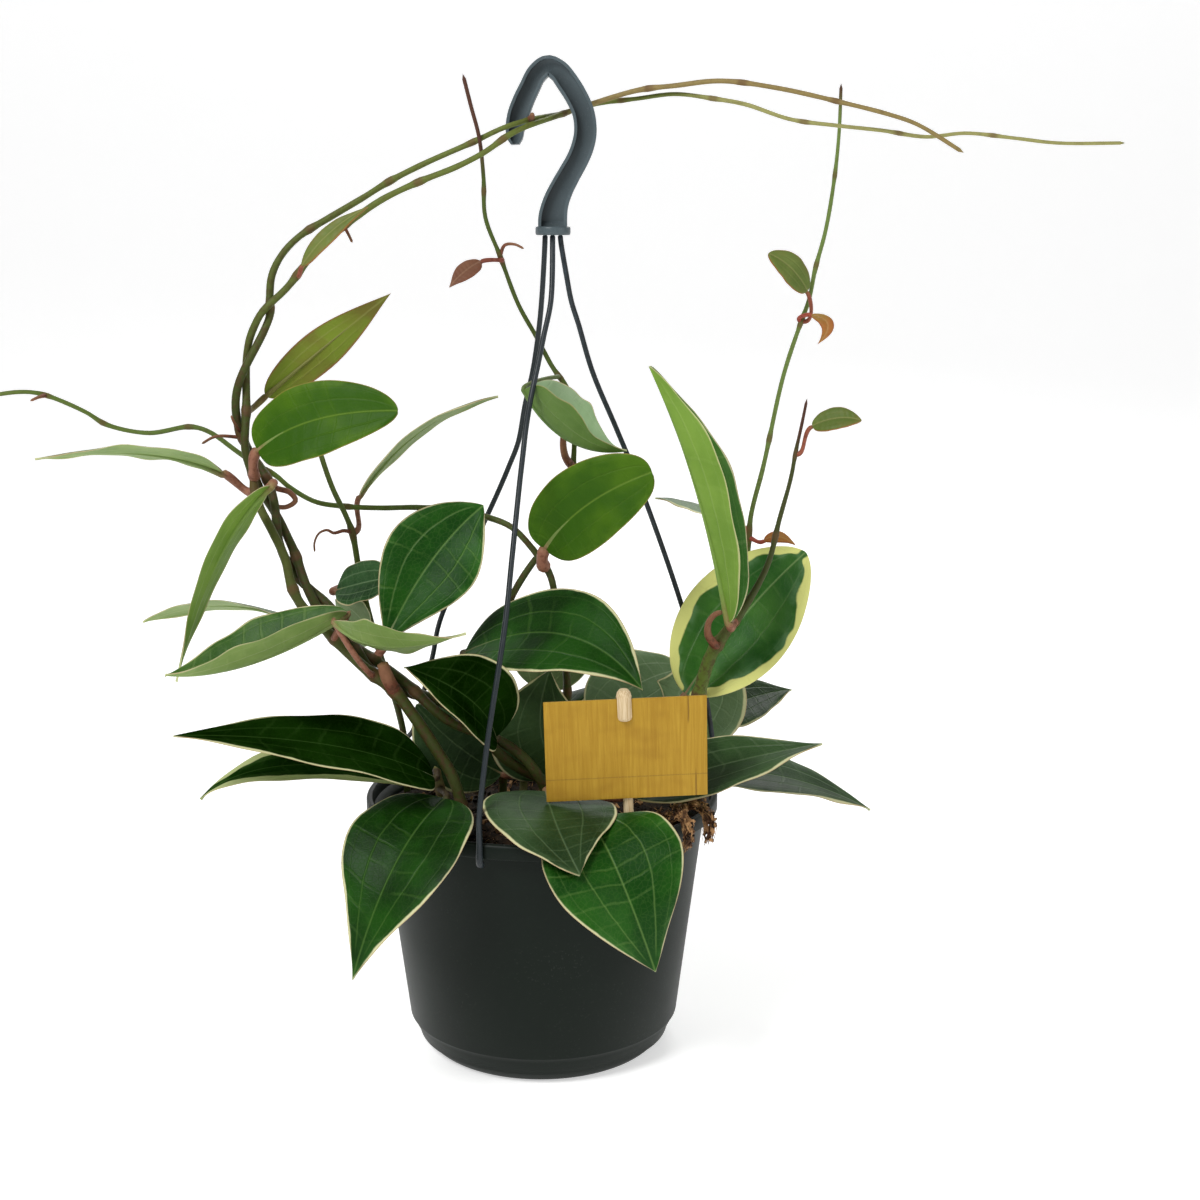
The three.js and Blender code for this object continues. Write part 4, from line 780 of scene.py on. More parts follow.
LEAVES = {
    "leaf_front_left": leaf("crown_left", [-38, -47, 121], [-55, -79, 104], [-71, -89, 61.5],
        [-0.35, -0.8, 0.5], 50, shoulder=0.72, taper=1.15, petiole=1.3),
    "leaf_front_centre": leaf("crown_front", [3, -48, 124.5], [8, -75, 118.5], [17, -92, 105],
        [0.2, -0.5, 0.86], 54, paint="grey", near=[22, -42, 119], shoulder=0.52, round=0.5,
        taper=0.9, fold=[0, 0]),
    "leaf_front_right": leaf("crown_front", [21, -58, 116], [32.5, -84, 101], [46, -88, 64.5],
        [0.2, -0.85, 0.4], 56, paint="mid", near=[20, -40, 109], shoulder=0.74, taper=0.95),
    "leaf_left_upper": leaf("crown_left", [-43, -41, 128.5], [-84, -52, 145], [-143, -60, 151],
        [0.1, -0.2, 1], 50, paint="dark", shoulder=0.66, round=0.5, taper=0.9, petiole=1.3),
    "leaf_left_lower": leaf("crown_left", [-47, -26, 121], [-102.1, -34, 131.2],
        [-139, -36, 117.7], [0, -0.2, 1], 30, paint="edged", petiole=1.3),
    "leaf_right_upper": leaf("crown_front", [38, -40, 121], [72, -35.5, 131.2], [116, -30, 139.5],
        [0.1, -0.35, 0.95], 37, paint="grey"),
    "leaf_right_lower": leaf("crown_right", [66, -1, 116], [101, 0, 116.5], [142, 6, 99.5],
        [0.15, -0.25, 0.95], 34, paint="grey"),
    "leaf_right_back": leaf("crown_right", [65, 30, 130], [88, 44, 138], [112, 54, 141],
        [0.1, -0.35, 0.95], 34, paint="grey", near=[43, 9, 116]),
    "leaf_right_inner": leaf("crown_right", [58, 23, 132], [70, 29, 147], [68, 35, 170],
        [0.1, -0.9, 0.3], 42, paint="sage", near=[48, 11, 129], shoulder=0.72, taper=0.8),
    "leaf_centre_low": leaf("crown_centre", [8, -11, 122], [0, -16, 142], [4, -10, 166],
        [0, -0.9, 0.4], 44, paint="grey"),
    "leaf_centre_lowest": leaf("crown_centre", [-17, -10, 121], [-36, -14, 135], [-52, -14, 152],
        [-0.3, -0.9, 0.3], 38, paint="grey", taper=0.8),
    "leaf_centre_left": leaf("vine_left_second", [-17.6, -41, 145.4], [-28, -52, 164.6],
        [-52.7, -51, 176.8], [0.5, -0.7, 0.5], 39, paint="dark", fold=[30, 30]),
    "leaf_centre_large": leaf("vine_centre", [-31, -13, 174], [10, -35, 186.2],
        [41.5, -56, 168.5], [0.2, -0.75, 0.65], 45, near=[-24, -12, 177]),
    "leaf_left_tall": leaf("vine_left_main", [-62.5, -30, 181.5], [-45, -21, 212.5],
        [-23, -12, 235.5], [0, -0.95, 0.3], 40, paint="mid", shoulder=1.12, round=0.95, taper=0.85),
    "leaf_left_round": leaf("stem_left_inner", [-84, -12, 200], [-72, -14, 203.5],
        [-56, -15, 207], [0, -0.5, 0.85], 27, paint="mottled", round=0.5, taper=0.7),
    "leaf_left_pale": leaf("stem_left_inner", [-72, 2, 176], [-82, 6, 184], [-88, 10, 192],
        [0.3, 0.7, 0.6], 32, paint="grey"),
    "leaf_left_folded": leaf("vine_left_short", [-74.9, -46, 197.6], [-112.9, -54, 178.8],
        [-145, -60, 175.8], [0.1, 0, 1], 38, paint="pale", near=[-82, -44, 186], fold=[40, 46],
        petiole=1.2, lead=0.1),
    "leaf_left_thin": leaf("vine_left_main", [-92, -20, 186], [-130, -8, 193], [-168, 0, 184],
        [0.1, 0.3, 1], 38, paint="pale", fold=[0, 0]),
    "leaf_left_inner": leaf("vine_left_short", [-79, -56, 196.5], [-58.6, -59, 187.2],
        [-27.3, -60, 192.6], [0.2, 0.5, 0.9], 41, paint="pale", near=[-66, -48, 172],
        fold=[10, 10], shoulder=0.8, round=0.9, taper=1.6, petiole=1.2, lead=0.1),
    "leaf_upper_left_oval": leaf("vine_left_short", [-111.5, -28, 260.1], [-86.8, -36, 272.9],
        [-53.9, -42, 277], [-0.1, -0.9, 0.35], 31, paint="oval", near=[-113, -28, 250],
        shoulder=0.84, round=0.36, taper=0.5, petiole=1.9),
    "leaf_upper_left_red": leaf("vine_left_main", [-112.8, 1, 279.1], [-87.7, 5, 299.7],
        [-61.2, 8, 320.7], [0.5, 0.6, 0.5], 17, paint="red", near=[-119, -4, 272], petiole=1.3,
        lead=0.2),
    "leaf_thin_right_of_vine": leaf("stem_left_inner", [-77, 15, 236], [-51.4, 18, 262.8],
        [-18.5, 24, 277], [-0.7, 0.2, 0.7], 22, paint="pale", near=[-77, 3, 222], fold=[0, 0],
        petiole=1.1),
    "leaf_long_left": leaf("vine_left_short", [-105.6, -37, 246.9], [-125.8, -46, 218.4],
        [-143.2, -50, 170.5], [-0.85, 0.3, 0.45], 24, paint="tall", fold=[4, 4], shoulder=0.78,
        round=0.75, taper=1.4),
    "leaf_far_left": leaf("vine_left_short", [-127, -24, 250.6], [-157, -34, 259.5],
        [-195, -46, 258.5], [0, 0.27, 1], 34, paint="pale", near=[-118, -20, 241], fold=[4, 4],
        taper=1.25, petiole=1.6, spring=0.5),
    "leaf_upper_centre_folded": leaf("vine_centre", [-6, -14, 283], [12, -16, 262.5],
        [35.5, -20, 259], [0.4, -0.1, 0.9], 43, paint="folded", near=[2, -10, 289], fold=[47, 47],
        shoulder=0.7, round=0.36, petiole=0.9, spring=0.2, lead=0.1),
    "leaf_upper_centre_oval": leaf("vine_across", [2.1, -14, 217.7], [19.4, -22, 237.1],
        [45.4, -30, 251.6], [0, -0.95, 0.25], 34, paint="oval", near=[0, -15, 209], shoulder=0.86,
        round=0.34, taper=0.36, petiole=2.2),
    "leaf_right_tall": leaf("vine_right_short", [77.5, -24, 189], [64, -22, 242.5],
        [44.5, -16, 292.5], [0.98, -0.2, 0.1], 37, paint="tall", fold=[52, 52], twist=20,
        shoulder=0.95, round=0.55, taper=0.8),
    "leaf_right_variegated": leaf("crown_right", [61, 0, 153], [84.5, 8, 183.5], [113, 20, 210.5],
        [-0.1, -0.95, 0.25], 48, paint="broad", shoulder=0.92, taper=0.6),
    "leaf_right_sliver": leaf("vine_right_long", [84, 38, 218], [68, 42, 226.5], [49, 44, 230.5],
        [-0.1, 0.05, 1], 28, paint="pale", fold=[0, 0]),
    "leaf_back_left": leaf("crown_back", [-12, 54, 120], [-31, 79, 123], [-51, 98, 109],
        [-0.2, 0.3, 0.95], 40),
    "leaf_back_centre": leaf("crown_back", [4, 60, 129], [13, 87, 130], [20, 104, 98],
        [0, 0.6, 0.8], 44),
    "leaf_back_right": leaf("crown_back", [21, 47, 130], [44, 57, 144], [66, 66, 148],
        [0.2, -0.5, 0.8], 40, paint="sage"),
    "leaf_back_upright": leaf("crown_back", [-4, 54, 142], [4, 60, 160], [14, 58, 178],
        [0.1, 0.9, 0.4], 38, paint="grey"),
}
YOUNG_LEAVES = [
    young_leaf("vine_right_long", [111.5, 24, 321], [104, 20, 330.5], [94.5, 18, 336.5], 14,
        near=[111, 34, 308], round=0.5, taper=0.6),
    young_leaf("vine_right_long", [114, 26, 311], [120, 20, 307], [116, 20, 299], 6,
        paint="orange", near=[110, 34, 308]),
    young_leaf("vine_right_long", [96, 29, 214], [102, 27, 216], [109, 24, 213], 6, paint="orange"),
    young_leaf("vine_right_short", [111, -12, 268], [120.5, -16, 271.5], [130, -18, 270.8], 11,
        near=[105, -8, 256], round=0.5, taper=0.7),
    young_leaf("vine_centre", [-23.5, -3, 333.5], [-29.6, -8, 329.6], [-35.6, -12, 323.6], 8.5,
        paint="blush", near=[-15, 3, 334]),
    young_leaf("vine_left_main", [-94, -13, 332], [-82, -15, 345], [-67, -14, 355], 8,
        near=[-97, -8, 328]),
]
# The stem that each grows on, its points, and its radii at equal shares of its length
SHOOTS = [
    ("vine_centre", [[-16, 3, 336], [-14, 2, 340], [-10, 1, 340.4], [-6, 0, 338.6]], [0.8, 0.5]),
    ("vine_centre", [[13.6, 2, 250], [10.6, -3, 254], [9.6, -7, 260], [10, -7, 266]], [1.9, 1.2]),
    ("stem_left_inner", [[-79, 2, 222], [-82, -2, 223.4], [-86, -3, 222.6], [-88.6, -4, 224],
        [-92, -4, 222.6], [-94, -4, 218.6], [-94, -4, 214.6]], [0.9, 0.7, 0.45, 0.4]),
    ("vine_left_main", [[-77, -8, 347], [-75, -10, 343], [-74, -11, 341]], [0.7, 0.5]),
    ("vine_across", [[-203, -1, 280], [-205, -5, 279], [-208, -6, 277.6]], [1, 0.5]),
    ("vine_left_second", [[-121, -13, 264], [-131, -14, 264], [-137, -14, 261]], [0.8, 0.5]),
    ("vine_left_second", [[-119, -12, 266], [-123, -16, 270], [-124, -17, 273]], [0.9, 0.5]),
    ("vine_left_second", [[-3, -7, 388], [-2, -10, 390], [-2, -12, 391]], [1.5, 0.8]),
    ("vine_left_short", [[-58.4, -45, 164.3], [-59.8, -48.5, 172.2], [-61.5, -49.5, 178.5]],
        [2.9, 2.9, 2.3]),
    ("vine_left_second", [[-112, -16, 245], [-108, -10, 242.4], [-103, -8, 240.4],
        [-100.6, -8, 237], [-104, -10, 234.6], [-110, -13, 235.4]], [1.3, 1.2, 0.9]),
    ("vine_right_short", [[78.4, -12, 173.9], [72.2, -17, 178], [69.1, -19, 183.1],
        [69.4, -20, 188.4], [72.2, -20.5, 191.9], [75.1, -20.5, 192.7]], [1.5, 1.8, 1.6, 1.3, 1]),
]
print("leaves:", len(LEAVES), "young leaves:", len(YOUNG_LEAVES), "shoots:", len(SHOOTS))

# %% [markdown]
# ## Growing a leaf
#
# The midrib is a curve through three points. At each place along it the blade has a direction
# along, across and out, and its half-width follows a power of a sine, which gives a round
# shoulder and a drawn-out tip. The upper and lower skins meet at the margin, so the edge is thin
# and closed. The margin also waves a little, as no real leaf is ruled straight.

# %% Growing a leaf
GREEN_PAINTS = ("pale", "tall", "folded", "oval", "red")
BLADE_THICKNESS = 0.75
MARGIN_DROP = 0.5  # how far the edge of the blade turns down, in mm
MIDRIB_ROUNDING = 0.07  # the share of the half-width over which a fold is rounded
FIRST_ROW, LAST_ROW = 0.0008, 0.9995  # close to both ends, where the blade is still a little wide
RIB_SHARE = 0.82  # how far along the blade the rib under it can be seen
STALK_STEPS = 15
RIB_STEPS = 17
LEAF_GRID = (26, 60)  # faces across and along
YOUNG_GRID = (12, 24)


class Blade:
    """The middle surface of one leaf, in millimetres."""

    def __init__(self, leaf, dice):
        self.leaf = leaf
        self.base, middle, self.tip = (Vector(leaf[key]) for key in ("base", "mid", "tip"))
        self.control = middle * 2 - (self.base + self.tip) / 2
        self.phases = [dice.uniform(0, 2 * math.pi) for _ in range(4)]
        self.waves = [dice.uniform(1.6, 2.6), dice.uniform(3.4, 4.6)]

    def along(self, t):
        slope = (self.control - self.base) * (1 - t) + (self.tip - self.control) * t
        return slope.normalized()

    def frame(self, t):
        """The directions along, across and out at a share of the midrib."""
        middle = self.along(0.5)
        out = Vector(self.leaf["face"])
        out = (out - middle * out.dot(middle)).normalized()
        along = self.along(t)
        out = middle.rotation_difference(along) @ out
        out = Quaternion(along, math.radians(self.leaf["twist"] * (t - 0.5))) @ out
        return along, along.cross(out).normalized(), out

    def half_width(self, t):
        place = t ** self.leaf["shoulder"]
        power = self.leaf["round"] if place < 0.5 else self.leaf["taper"]
        return self.leaf["width"] / 2 * max(math.sin(math.pi * place), 0) ** power

    def wave(self, t, v):
        """How far the margin rises and falls."""
        side = 0 if v < 0 else 2
        slow, quick = (
            math.sin(2 * math.pi * self.waves[k] * t + self.phases[side + k]) for k in (0, 1)
        )
        return (0.55 * slow + 0.3 * quick) * abs(v) ** 3 * min(self.leaf["width"] / 40, 1)

    def point(self, t, v, half, frame):
        """The place at t along the midrib and v across, from -1 at one margin to 1 at the other."""
        _, across, out = frame
        fold = math.radians(self.leaf["fold"][0 if v < 0 else 1])
        soft = math.hypot(v, MIDRIB_ROUNDING) - MIDRIB_ROUNDING * (1 - abs(v))
        sideways = v * half * math.cos(fold)
        upwards = soft * half * math.sin(fold) + (self.wave(t, v) - MARGIN_DROP * abs(v) ** 8)
        return bent(self.base, self.control, self.tip, t) + across * sideways + out * upwards


def add_blade(bm, blade, across_steps, along_steps, top, under):
    """Both skins of a blade, welded at the margin."""
    skin = bm.verts.layers.float_vector["skin"]
    for side, material in ((1, top), (-1, under)):
        rows = grid(bm, across_steps, along_steps)
        for j, row in enumerate(rows):
            t = (1 - math.cos(math.pi * j / along_steps)) / 2
            t = min(max(t, FIRST_ROW), LAST_ROW)
            frame = blade.frame(t)
            half = blade.half_width(t)
            for i, point in enumerate(row):
                v = math.sin(math.pi * (i / across_steps - 0.5))
                rim = i in (0, across_steps) or j in (0, along_steps)
                thick = 0 if rim else BLADE_THICKNESS * (1 - abs(v) ** 8)
                middle = blade.point(t, v, half, frame)
                point.co = (middle + frame[2] * (side * thick / 2)) * MM
                point[skin] = (v, t, half)
        faces = faces_of(point for row in rows for point in row)
        for face in faces:
            face.material_index = material
        if side < 0:
            bmesh.ops.reverse_faces(bm, faces=faces)
    weld(bm)


def add_leaf(bm, leaf, dice, grid_size, first):
    """A leaf's blade, and its stalk that runs on as the rib under the blade.

    The materials of its upper side, underside and stalk follow each other from the first.
    """
    blade = Blade(leaf, dice)
    _, foot, outward = place_on_stem(leaf["on"], leaf["near"])
    reach = (blade.base - foot).length
    lift = foot + outward * reach * leaf["spring"]
    lead = blade.base - blade.along(0) * reach * leaf["lead"]
    thick = leaf["petiole"]
    centres, radii = [], []
    for k in range(STALK_STEPS):
        t = k / STALK_STEPS
        a, b, c, d = ((1 - t) ** 3, 3 * t * (1 - t) ** 2, 3 * t * t * (1 - t), t**3)
        centres.append(foot * a + lift * b + lead * c + blade.base * d)
        swell = 0.3 * math.exp(-((t * reach / 4) ** 2))
        swell += 0.12 * math.exp(-(((1 - t) * reach / 5) ** 2))
        radii.append(thick * (1 + swell) * (1 + 0.05 * math.sin(9 * t + thick * 40)))
    for k in range(RIB_STEPS + 1):
        t = RIB_SHARE * k / RIB_STEPS
        radius = thick * (1 - t / RIB_SHARE) ** 1.3 * 0.8 + 0.12
        frame = blade.frame(t)
        centres.append(blade.point(t, 0, blade.half_width(t), frame) - frame[2] * radius * 0.6)
        radii.append(radius)
    add_blade(bm, blade, *grid_size, first, first + 1)
    add_tube(bm, centres, radii, material=first + 2)


faces = 0
for name, leaf in LEAVES.items():
    bm = new_mesh()
    add_leaf(bm, leaf, random.Random(name), LEAF_GRID, 0)
    slot = "leaf_green" if leaf["paint"] in GREEN_PAINTS else "leaf_variegated"
    made = finish_piece(name + "_grown", bm, name, LEAF_PAINTS[leaf["paint"]])
    faces += len(made.data.polygons)
print("leaves:", len(LEAVES), "faces:", faces)

# %% [markdown]
# ## Growing the vines
#
# A vine is a tube with a swelling at each joint, where a leaf stands, and a few bare joints
# between. Its tendrils and its small young leaves are one piece with it, as in the solids.

# %% Growing the vines
JOINT_SPACING = 38
JOINT_LENGTH = 2.4
STEM_STEP = 2.2
SHOOT_STEP = 0.8
YOUNG_PAINTS = ("young", "blush", "orange")


def joints_on(name):
    """Shares of the stem's length where something grows, and of bare joints between them."""
    places = [row["near"] for row in [*LEAVES.values(), *YOUNG_LEAVES] if row["on"] == name]
    places += [points[0] for on, points, _ in SHOOTS if on == name]
    shares = [place_on_stem(name, place)[0] for place in places]
    bare = JOINT_SPACING / STEM_LINES[name].length
    share = 0.6 * bare
    while share < 0.97:
        if all(abs(share - other) > 0.5 * bare for other in shares):
            shares.append(share)
        share += bare
    return sorted(shares)


def add_stem(bm, name, dice):
    line, joints = STEM_LINES[name], joints_on(name)
    steps = int(line.length / STEM_STEP)
    centres, radii, marks = [], [], []
    for k in range(steps + 1):
        share = k / steps
        radius = between(STEMS[name][1], share)
        swell = sum(
            math.exp(-(((share - joint) * line.length / JOINT_LENGTH) ** 2)) for joint in joints
        )
        uneven = noise.noise(Vector((share * line.length / 9, radius * 9, dice.random() * 0.2)))
        centres.append(line.at(share))
        radii.append(radius * (1 + 0.32 * min(swell, 1) + 0.08 * uneven))
        marks.append(min(swell, 1))
    add_tube(bm, centres, radii, marks=marks)
    return len(joints)


YOUNG_MATERIALS = [material for paint in YOUNG_PAINTS for material in LEAF_PAINTS[paint]]
for name in STEMS:
    dice = random.Random(name)
    bm = new_mesh()
    joints = add_stem(bm, name, dice)
    for leaf in YOUNG_LEAVES:
        if leaf["on"] == name:
            first = 2 + 3 * YOUNG_PAINTS.index(leaf["paint"])
            add_leaf(bm, leaf, dice, YOUNG_GRID, first)
    for on, points, widths in SHOOTS:
        if on == name:
            line = Line([place_on_stem(name, points[0])[1], *points[1:]])
            steps = max(int(line.length / SHOOT_STEP), 6)
            add_rod(bm, line, steps, lambda share: between(widths, share), 8, 1)
    materials = [VINE_PAINTS.get(name, CROWN), SHOOT, *YOUNG_MATERIALS]
    finish_piece(name + "_grown", bm, name, materials)
    print(name, "joints:", joints)

# %% [markdown]
# ## The pot
#
# A nursery pot is a thin-walled moulding, so it is drawn as one closed section, outside and
# inside, and spun once round. The section has a small ledge above its rounded foot and a plain
# band for a rim. Six holes go through the floor with a Boolean, because water has to get out.

# %% The pot
POT_HEIGHT = 110.5
RIM_LOW = 104.5
RIM_RADIUS = 75
BODY_TOP = 69.7
CORNER = 58.1
CORNER_HEIGHT = 12.8
BASE_RADIUS = 47.5
WALL = 1.4
FLOOR = 2
DRAIN_HOLES = 6
DRAIN_RADIUS = 4.5
DRAIN_RING = 33


def rounded_foot(steps=14):
    """The outside of the lower corner, from the flat base up to the ledge."""
    start, pull, end = Vector((BASE_RADIUS, 0)), Vector((51.9, 0.5)), Vector((57.4, CORNER_HEIGHT))
    return [tuple(bent(start, pull, end, k / steps)) for k in range(steps + 1)]


def drills():
    """Upright rods where the drain holes go."""
    bm = bmesh.new()
    for k in range(DRAIN_HOLES):
        turn = k * math.pi / 3
        x, y = DRAIN_RING * math.sin(turn), -DRAIN_RING * math.cos(turn)
        bmesh.ops.create_cone(
            bm, cap_ends=True, segments=40, radius1=DRAIN_RADIUS * MM, radius2=DRAIN_RADIUS * MM,
            depth=20 * MM, matrix=Matrix.Translation((x * MM, y * MM, 0)),
        )
    return as_object(bm, "drills")


def pot_paint():
    """Charcoal plastic with a fine moulded grain and dust, and painted highlights along the ledge
    and the rim's top edge.
    """
    paint = Paint("pot_plastic", Specular_IOR_Level=0.12)
    _, _, height = paint.split(paint.place)
    cloud = paint.noise(28, 4)
    grain = paint.noise(2600, 2)
    dust = (paint.noise(900, 2) - 0.62).rise(0.0, 0.06)
    settled = (cloud - 0.45).rise(0, 0.25)
    colour = paint.mix(rgb("0c140f"), rgb("161e18"), cloud)
    colour = paint.mix(colour, rgb("484a46"), dust * (settled * 0.16 + 0.03))
    # Painted highlight: thin paler lines along the ledge above the foot and along the top edge of
    # the rim.
    ledge = (height - CORNER_HEIGHT * MM).near(0.0012)
    rim = (height - (POT_HEIGHT - 0.4) * MM).near(0.0008)
    colour = paint.mix(colour, rgb("424644"), ledge * 0.05 + rim * 0.3)
    rough = cloud * 0.12 + grain * 0.1 + 0.36
    return paint.finish(colour, rough, grain * 0.4 + cloud * 0.6, depth=0.0001, strength=0.5)


POT_SECTION = [
    (0, 0), (20, 0), (45, 0),
    *rounded_foot(),
    (57.7, CORNER_HEIGHT + 0.3), (CORNER, CORNER_HEIGHT + 0.8),
    (CORNER + 5.8 * 0.9, 55), (BODY_TOP - 0.15, RIM_LOW - 1.2), (BODY_TOP, RIM_LOW - 0.3),
    (BODY_TOP + 0.4, RIM_LOW), (RIM_RADIUS - 0.5, RIM_LOW), (RIM_RADIUS - 0.12, RIM_LOW + 0.15),
    (RIM_RADIUS, RIM_LOW + 0.5), (RIM_RADIUS, POT_HEIGHT - 0.9),
    (RIM_RADIUS - 0.2, POT_HEIGHT - 0.35), (RIM_RADIUS - 0.6, POT_HEIGHT - 0.05),
    (RIM_RADIUS - 1.0, POT_HEIGHT), (RIM_RADIUS - 2.2, POT_HEIGHT),
    (RIM_RADIUS - 2.5, POT_HEIGHT - 0.3), (RIM_RADIUS - 3.2, RIM_LOW + 1.2),
    (BODY_TOP - WALL + 0.3, RIM_LOW - 0.4), (BODY_TOP - WALL, RIM_LOW - 1.4),
    (CORNER - WALL, CORNER_HEIGHT + 1), (CORNER - 4, FLOOR + 3), (BASE_RADIUS, FLOOR), (0, FLOOR),
]
POT_SHARP = 50
bm = new_mesh()
spin(bm, POT_SECTION)
pot = finish_piece("pot_moulding", bm, "pot", [pot_paint()], POT_SHARP)
boolean(pot, drills(), "DIFFERENCE")
smooth(pot.data, POT_SHARP)
print("pot faces:", len(pot.data.polygons))

# %% [markdown]
# ## The soil
#
# Potting mix is crumbs of peat, bark and coir. The bed is a spun section whose top is roughened
# with noise. Crumbs and bark chips are small icospheres and cubes pressed into it, and coir is a
# handful of hair-thin curved tubes. At the right two tufts of coir and crumbs spill over the rim.

# %% The soil
SOIL_LEVEL = 103
BED_RADIUS = BODY_TOP - WALL - GAP
BED_RINGS = 58
FIBRES = 150
SPILLED_FIBRES = 190
SPILLED_CRUMBS = 110
SPILLS = [
    [[46, -40, 100], [50.5, -44.5, 111], [54.5, -48.5, 116], [58.5, -53, 116.8], [60.5, -55, 112],
        [60, -55, 107], [58.8, -54.4, 102.5]],
    [[53, -30, 100], [57.5, -33, 111], [62, -37, 116], [66.5, -41, 116.6], [69.6, -43.6, 112.5],
        [69.2, -44, 106.5], [68.4, -43.6, 102]],
]


def soil_height(x, y):
    swell = 0.5 * math.sin(x * 0.13 + 1.1) * math.cos(y * 0.11)
    swell += 0.4 * math.sin(x * 0.31 - y * 0.27)
    rough = noise.fractal(Vector((x / 6, y / 6, 3)), 0.9, 2.2, 5)
    return SOIL_LEVEL + 2.2 * swell + 0.9 * rough


def soil_paint():
    paint = Paint("soil_mix", Specular_IOR_Level=0.2)
    clod = paint.noise(240, 5)
    speck = paint.noise(1300, 3)
    colour = paint.mix(rgb("18110c"), rgb("3e2d20"), (clod - 0.42).rise(0, 0.3))
    colour = paint.mix(colour, rgb("785c3e"), (speck - 0.62).rise(0, 0.08) * 0.5)
    return paint.finish(colour, clod * 0.15 + 0.8, clod + speck * 0.5, depth=0.0008, strength=1)


def fibre_paint():
    """Coir and bark, from dark red-brown to straw."""
    paint = Paint("coir", Specular_IOR_Level=0.3)
    patch = paint.noise(330, 3)
    colour = paint.mix(rgb("4c301c"), rgb("ba8e60"), (patch - 0.4).rise(0, 0.25))
    return paint.finish(colour, patch * 0.2 + 0.6, patch, depth=0.0003)


def jitter(dice, reach):
    return Vector([dice.uniform(-reach, reach) for _ in range(3)])


def somewhere(dice, share):
    """A random place on the bed, within a share of its radius."""
    turn, radius = dice.uniform(0, 2 * math.pi), BED_RADIUS * share * math.sqrt(dice.random())
    return radius * math.sin(turn), radius * math.cos(turn)


def add_crumb(bm, place, size, dice, material, chip=False):
    """A crumb is a lumpy ball, and a chip is a flat splinter."""
    turn = Quaternion([dice.uniform(-1, 1) for _ in range(4)]).normalized().to_matrix().to_4x4()
    stretch = [dice.uniform(0.6, 1.3) for _ in range(3)]
    if chip:
        stretch = [dice.uniform(1.2, 2.4), dice.uniform(0.6, 1.0), dice.uniform(0.15, 0.35)]
    matrix = Matrix.Translation(place * MM) @ turn @ Matrix.Diagonal((*stretch, 1))
    if chip:
        made = bmesh.ops.create_cube(bm, size=size * MM, matrix=matrix)
    else:
        made = bmesh.ops.create_icosphere(bm, subdivisions=1, radius=size / 2 * MM, matrix=matrix)
    for point in made["verts"]:
        point.co += Vector([dice.uniform(-0.12, 0.12) * size * MM for _ in range(3)])
    for face in faces_of(made["verts"]):
        face.material_index = material


def add_fibre(bm, start, end, bow, radius, dice):
    line = Line([start, (start + end) / 2 + jitter(dice, bow), end], spans=5)
    add_rod(bm, line, 8, lambda share: radius * (1 - 0.6 * share), 4, 1)


dice = random.Random(11)
bm = new_mesh()
top_rings = [
    (BED_RADIUS * 0.97 * (1 - k / BED_RINGS), SOIL_LEVEL) for k in range(BED_RINGS + 1)
]
spin(
    bm,
    [
        (0, FLOOR + GAP), (BASE_RADIUS - GAP, FLOOR + GAP), (CORNER - 4.6, FLOOR + 3.5),
        (CORNER - WALL - 0.6, CORNER_HEIGHT + 1), (BED_RADIUS - 0.7, SOIL_LEVEL - 3),
        (BED_RADIUS - 0.9, SOIL_LEVEL - 1.2), *top_rings,
    ],
    160,
)
for point in bm.verts:
    x, y, z = point.co / MM
    if z > SOIL_LEVEL - 0.5:
        point.co.z = soil_height(x, y) * MM
for count, share, lift, sizes, chip in (  # crumbs, then chips
    (900, 0.95, (-0.2, 0.5), (0.8, 3.0), False),
    (160, 0.93, (0, 0.8), (1.6, 3.6), True),
):
    for _ in range(count):
        x, y = somewhere(dice, share)
        place = Vector((x, y, soil_height(x, y) + dice.uniform(*lift)))
        size = dice.uniform(*sizes)
        add_crumb(bm, place, size, dice, dice.choice((0, 1)) if chip else 0, chip)
for _ in range(FIBRES):
    start = Vector((*somewhere(dice, 0.9), 0))
    end = start + Vector((dice.uniform(-9, 9), dice.uniform(-9, 9), 0))
    if end.xy.length < BED_RADIUS * 0.95:
        start.z = soil_height(start.x, start.y) + 0.3
        end.z = soil_height(end.x, end.y) + dice.uniform(0.2, 1.6)
        add_fibre(bm, start, end, 1.5, dice.uniform(0.12, 0.28), dice)
for line in map(Line, SPILLS):
    for _ in range(SPILLED_FIBRES):
        share = dice.uniform(0.05, 0.9)
        thick = 3.4 * (1 - 0.4 * share)
        loose = [jitter(dice, thick) * 0.8 for _ in range(2)]
        start = line.at(share) + loose[0]
        end = line.at(min(share + dice.uniform(0.12, 0.3), 1)) + loose[1]
        add_fibre(bm, start, end, 1.2, dice.uniform(0.15, 0.4), dice)
    for _ in range(SPILLED_CRUMBS):
        share = dice.uniform(0.05, 0.97)
        place = line.at(share) + jitter(dice, 3 * (1 - 0.4 * share))
        add_crumb(bm, place, dice.uniform(0.8, 2.4), dice, dice.choice((0, 1, 1)))
soil = finish_piece("soil_mix", bm, "soil", [soil_paint(), fibre_paint()], 40)
print("soil faces:", len(soil.data.polygons))

# %% [markdown]
# ## The hanger
#
# The hook is an H-shaped bar: two flanges with a thin web between them, bent in one plane. Its
# section is swept along the bend and its long edges take a small bevel, as a moulding's do. A
# round collar closes it below, and three thin strands run from the collar to the rim, where each
# hooks in under the band.

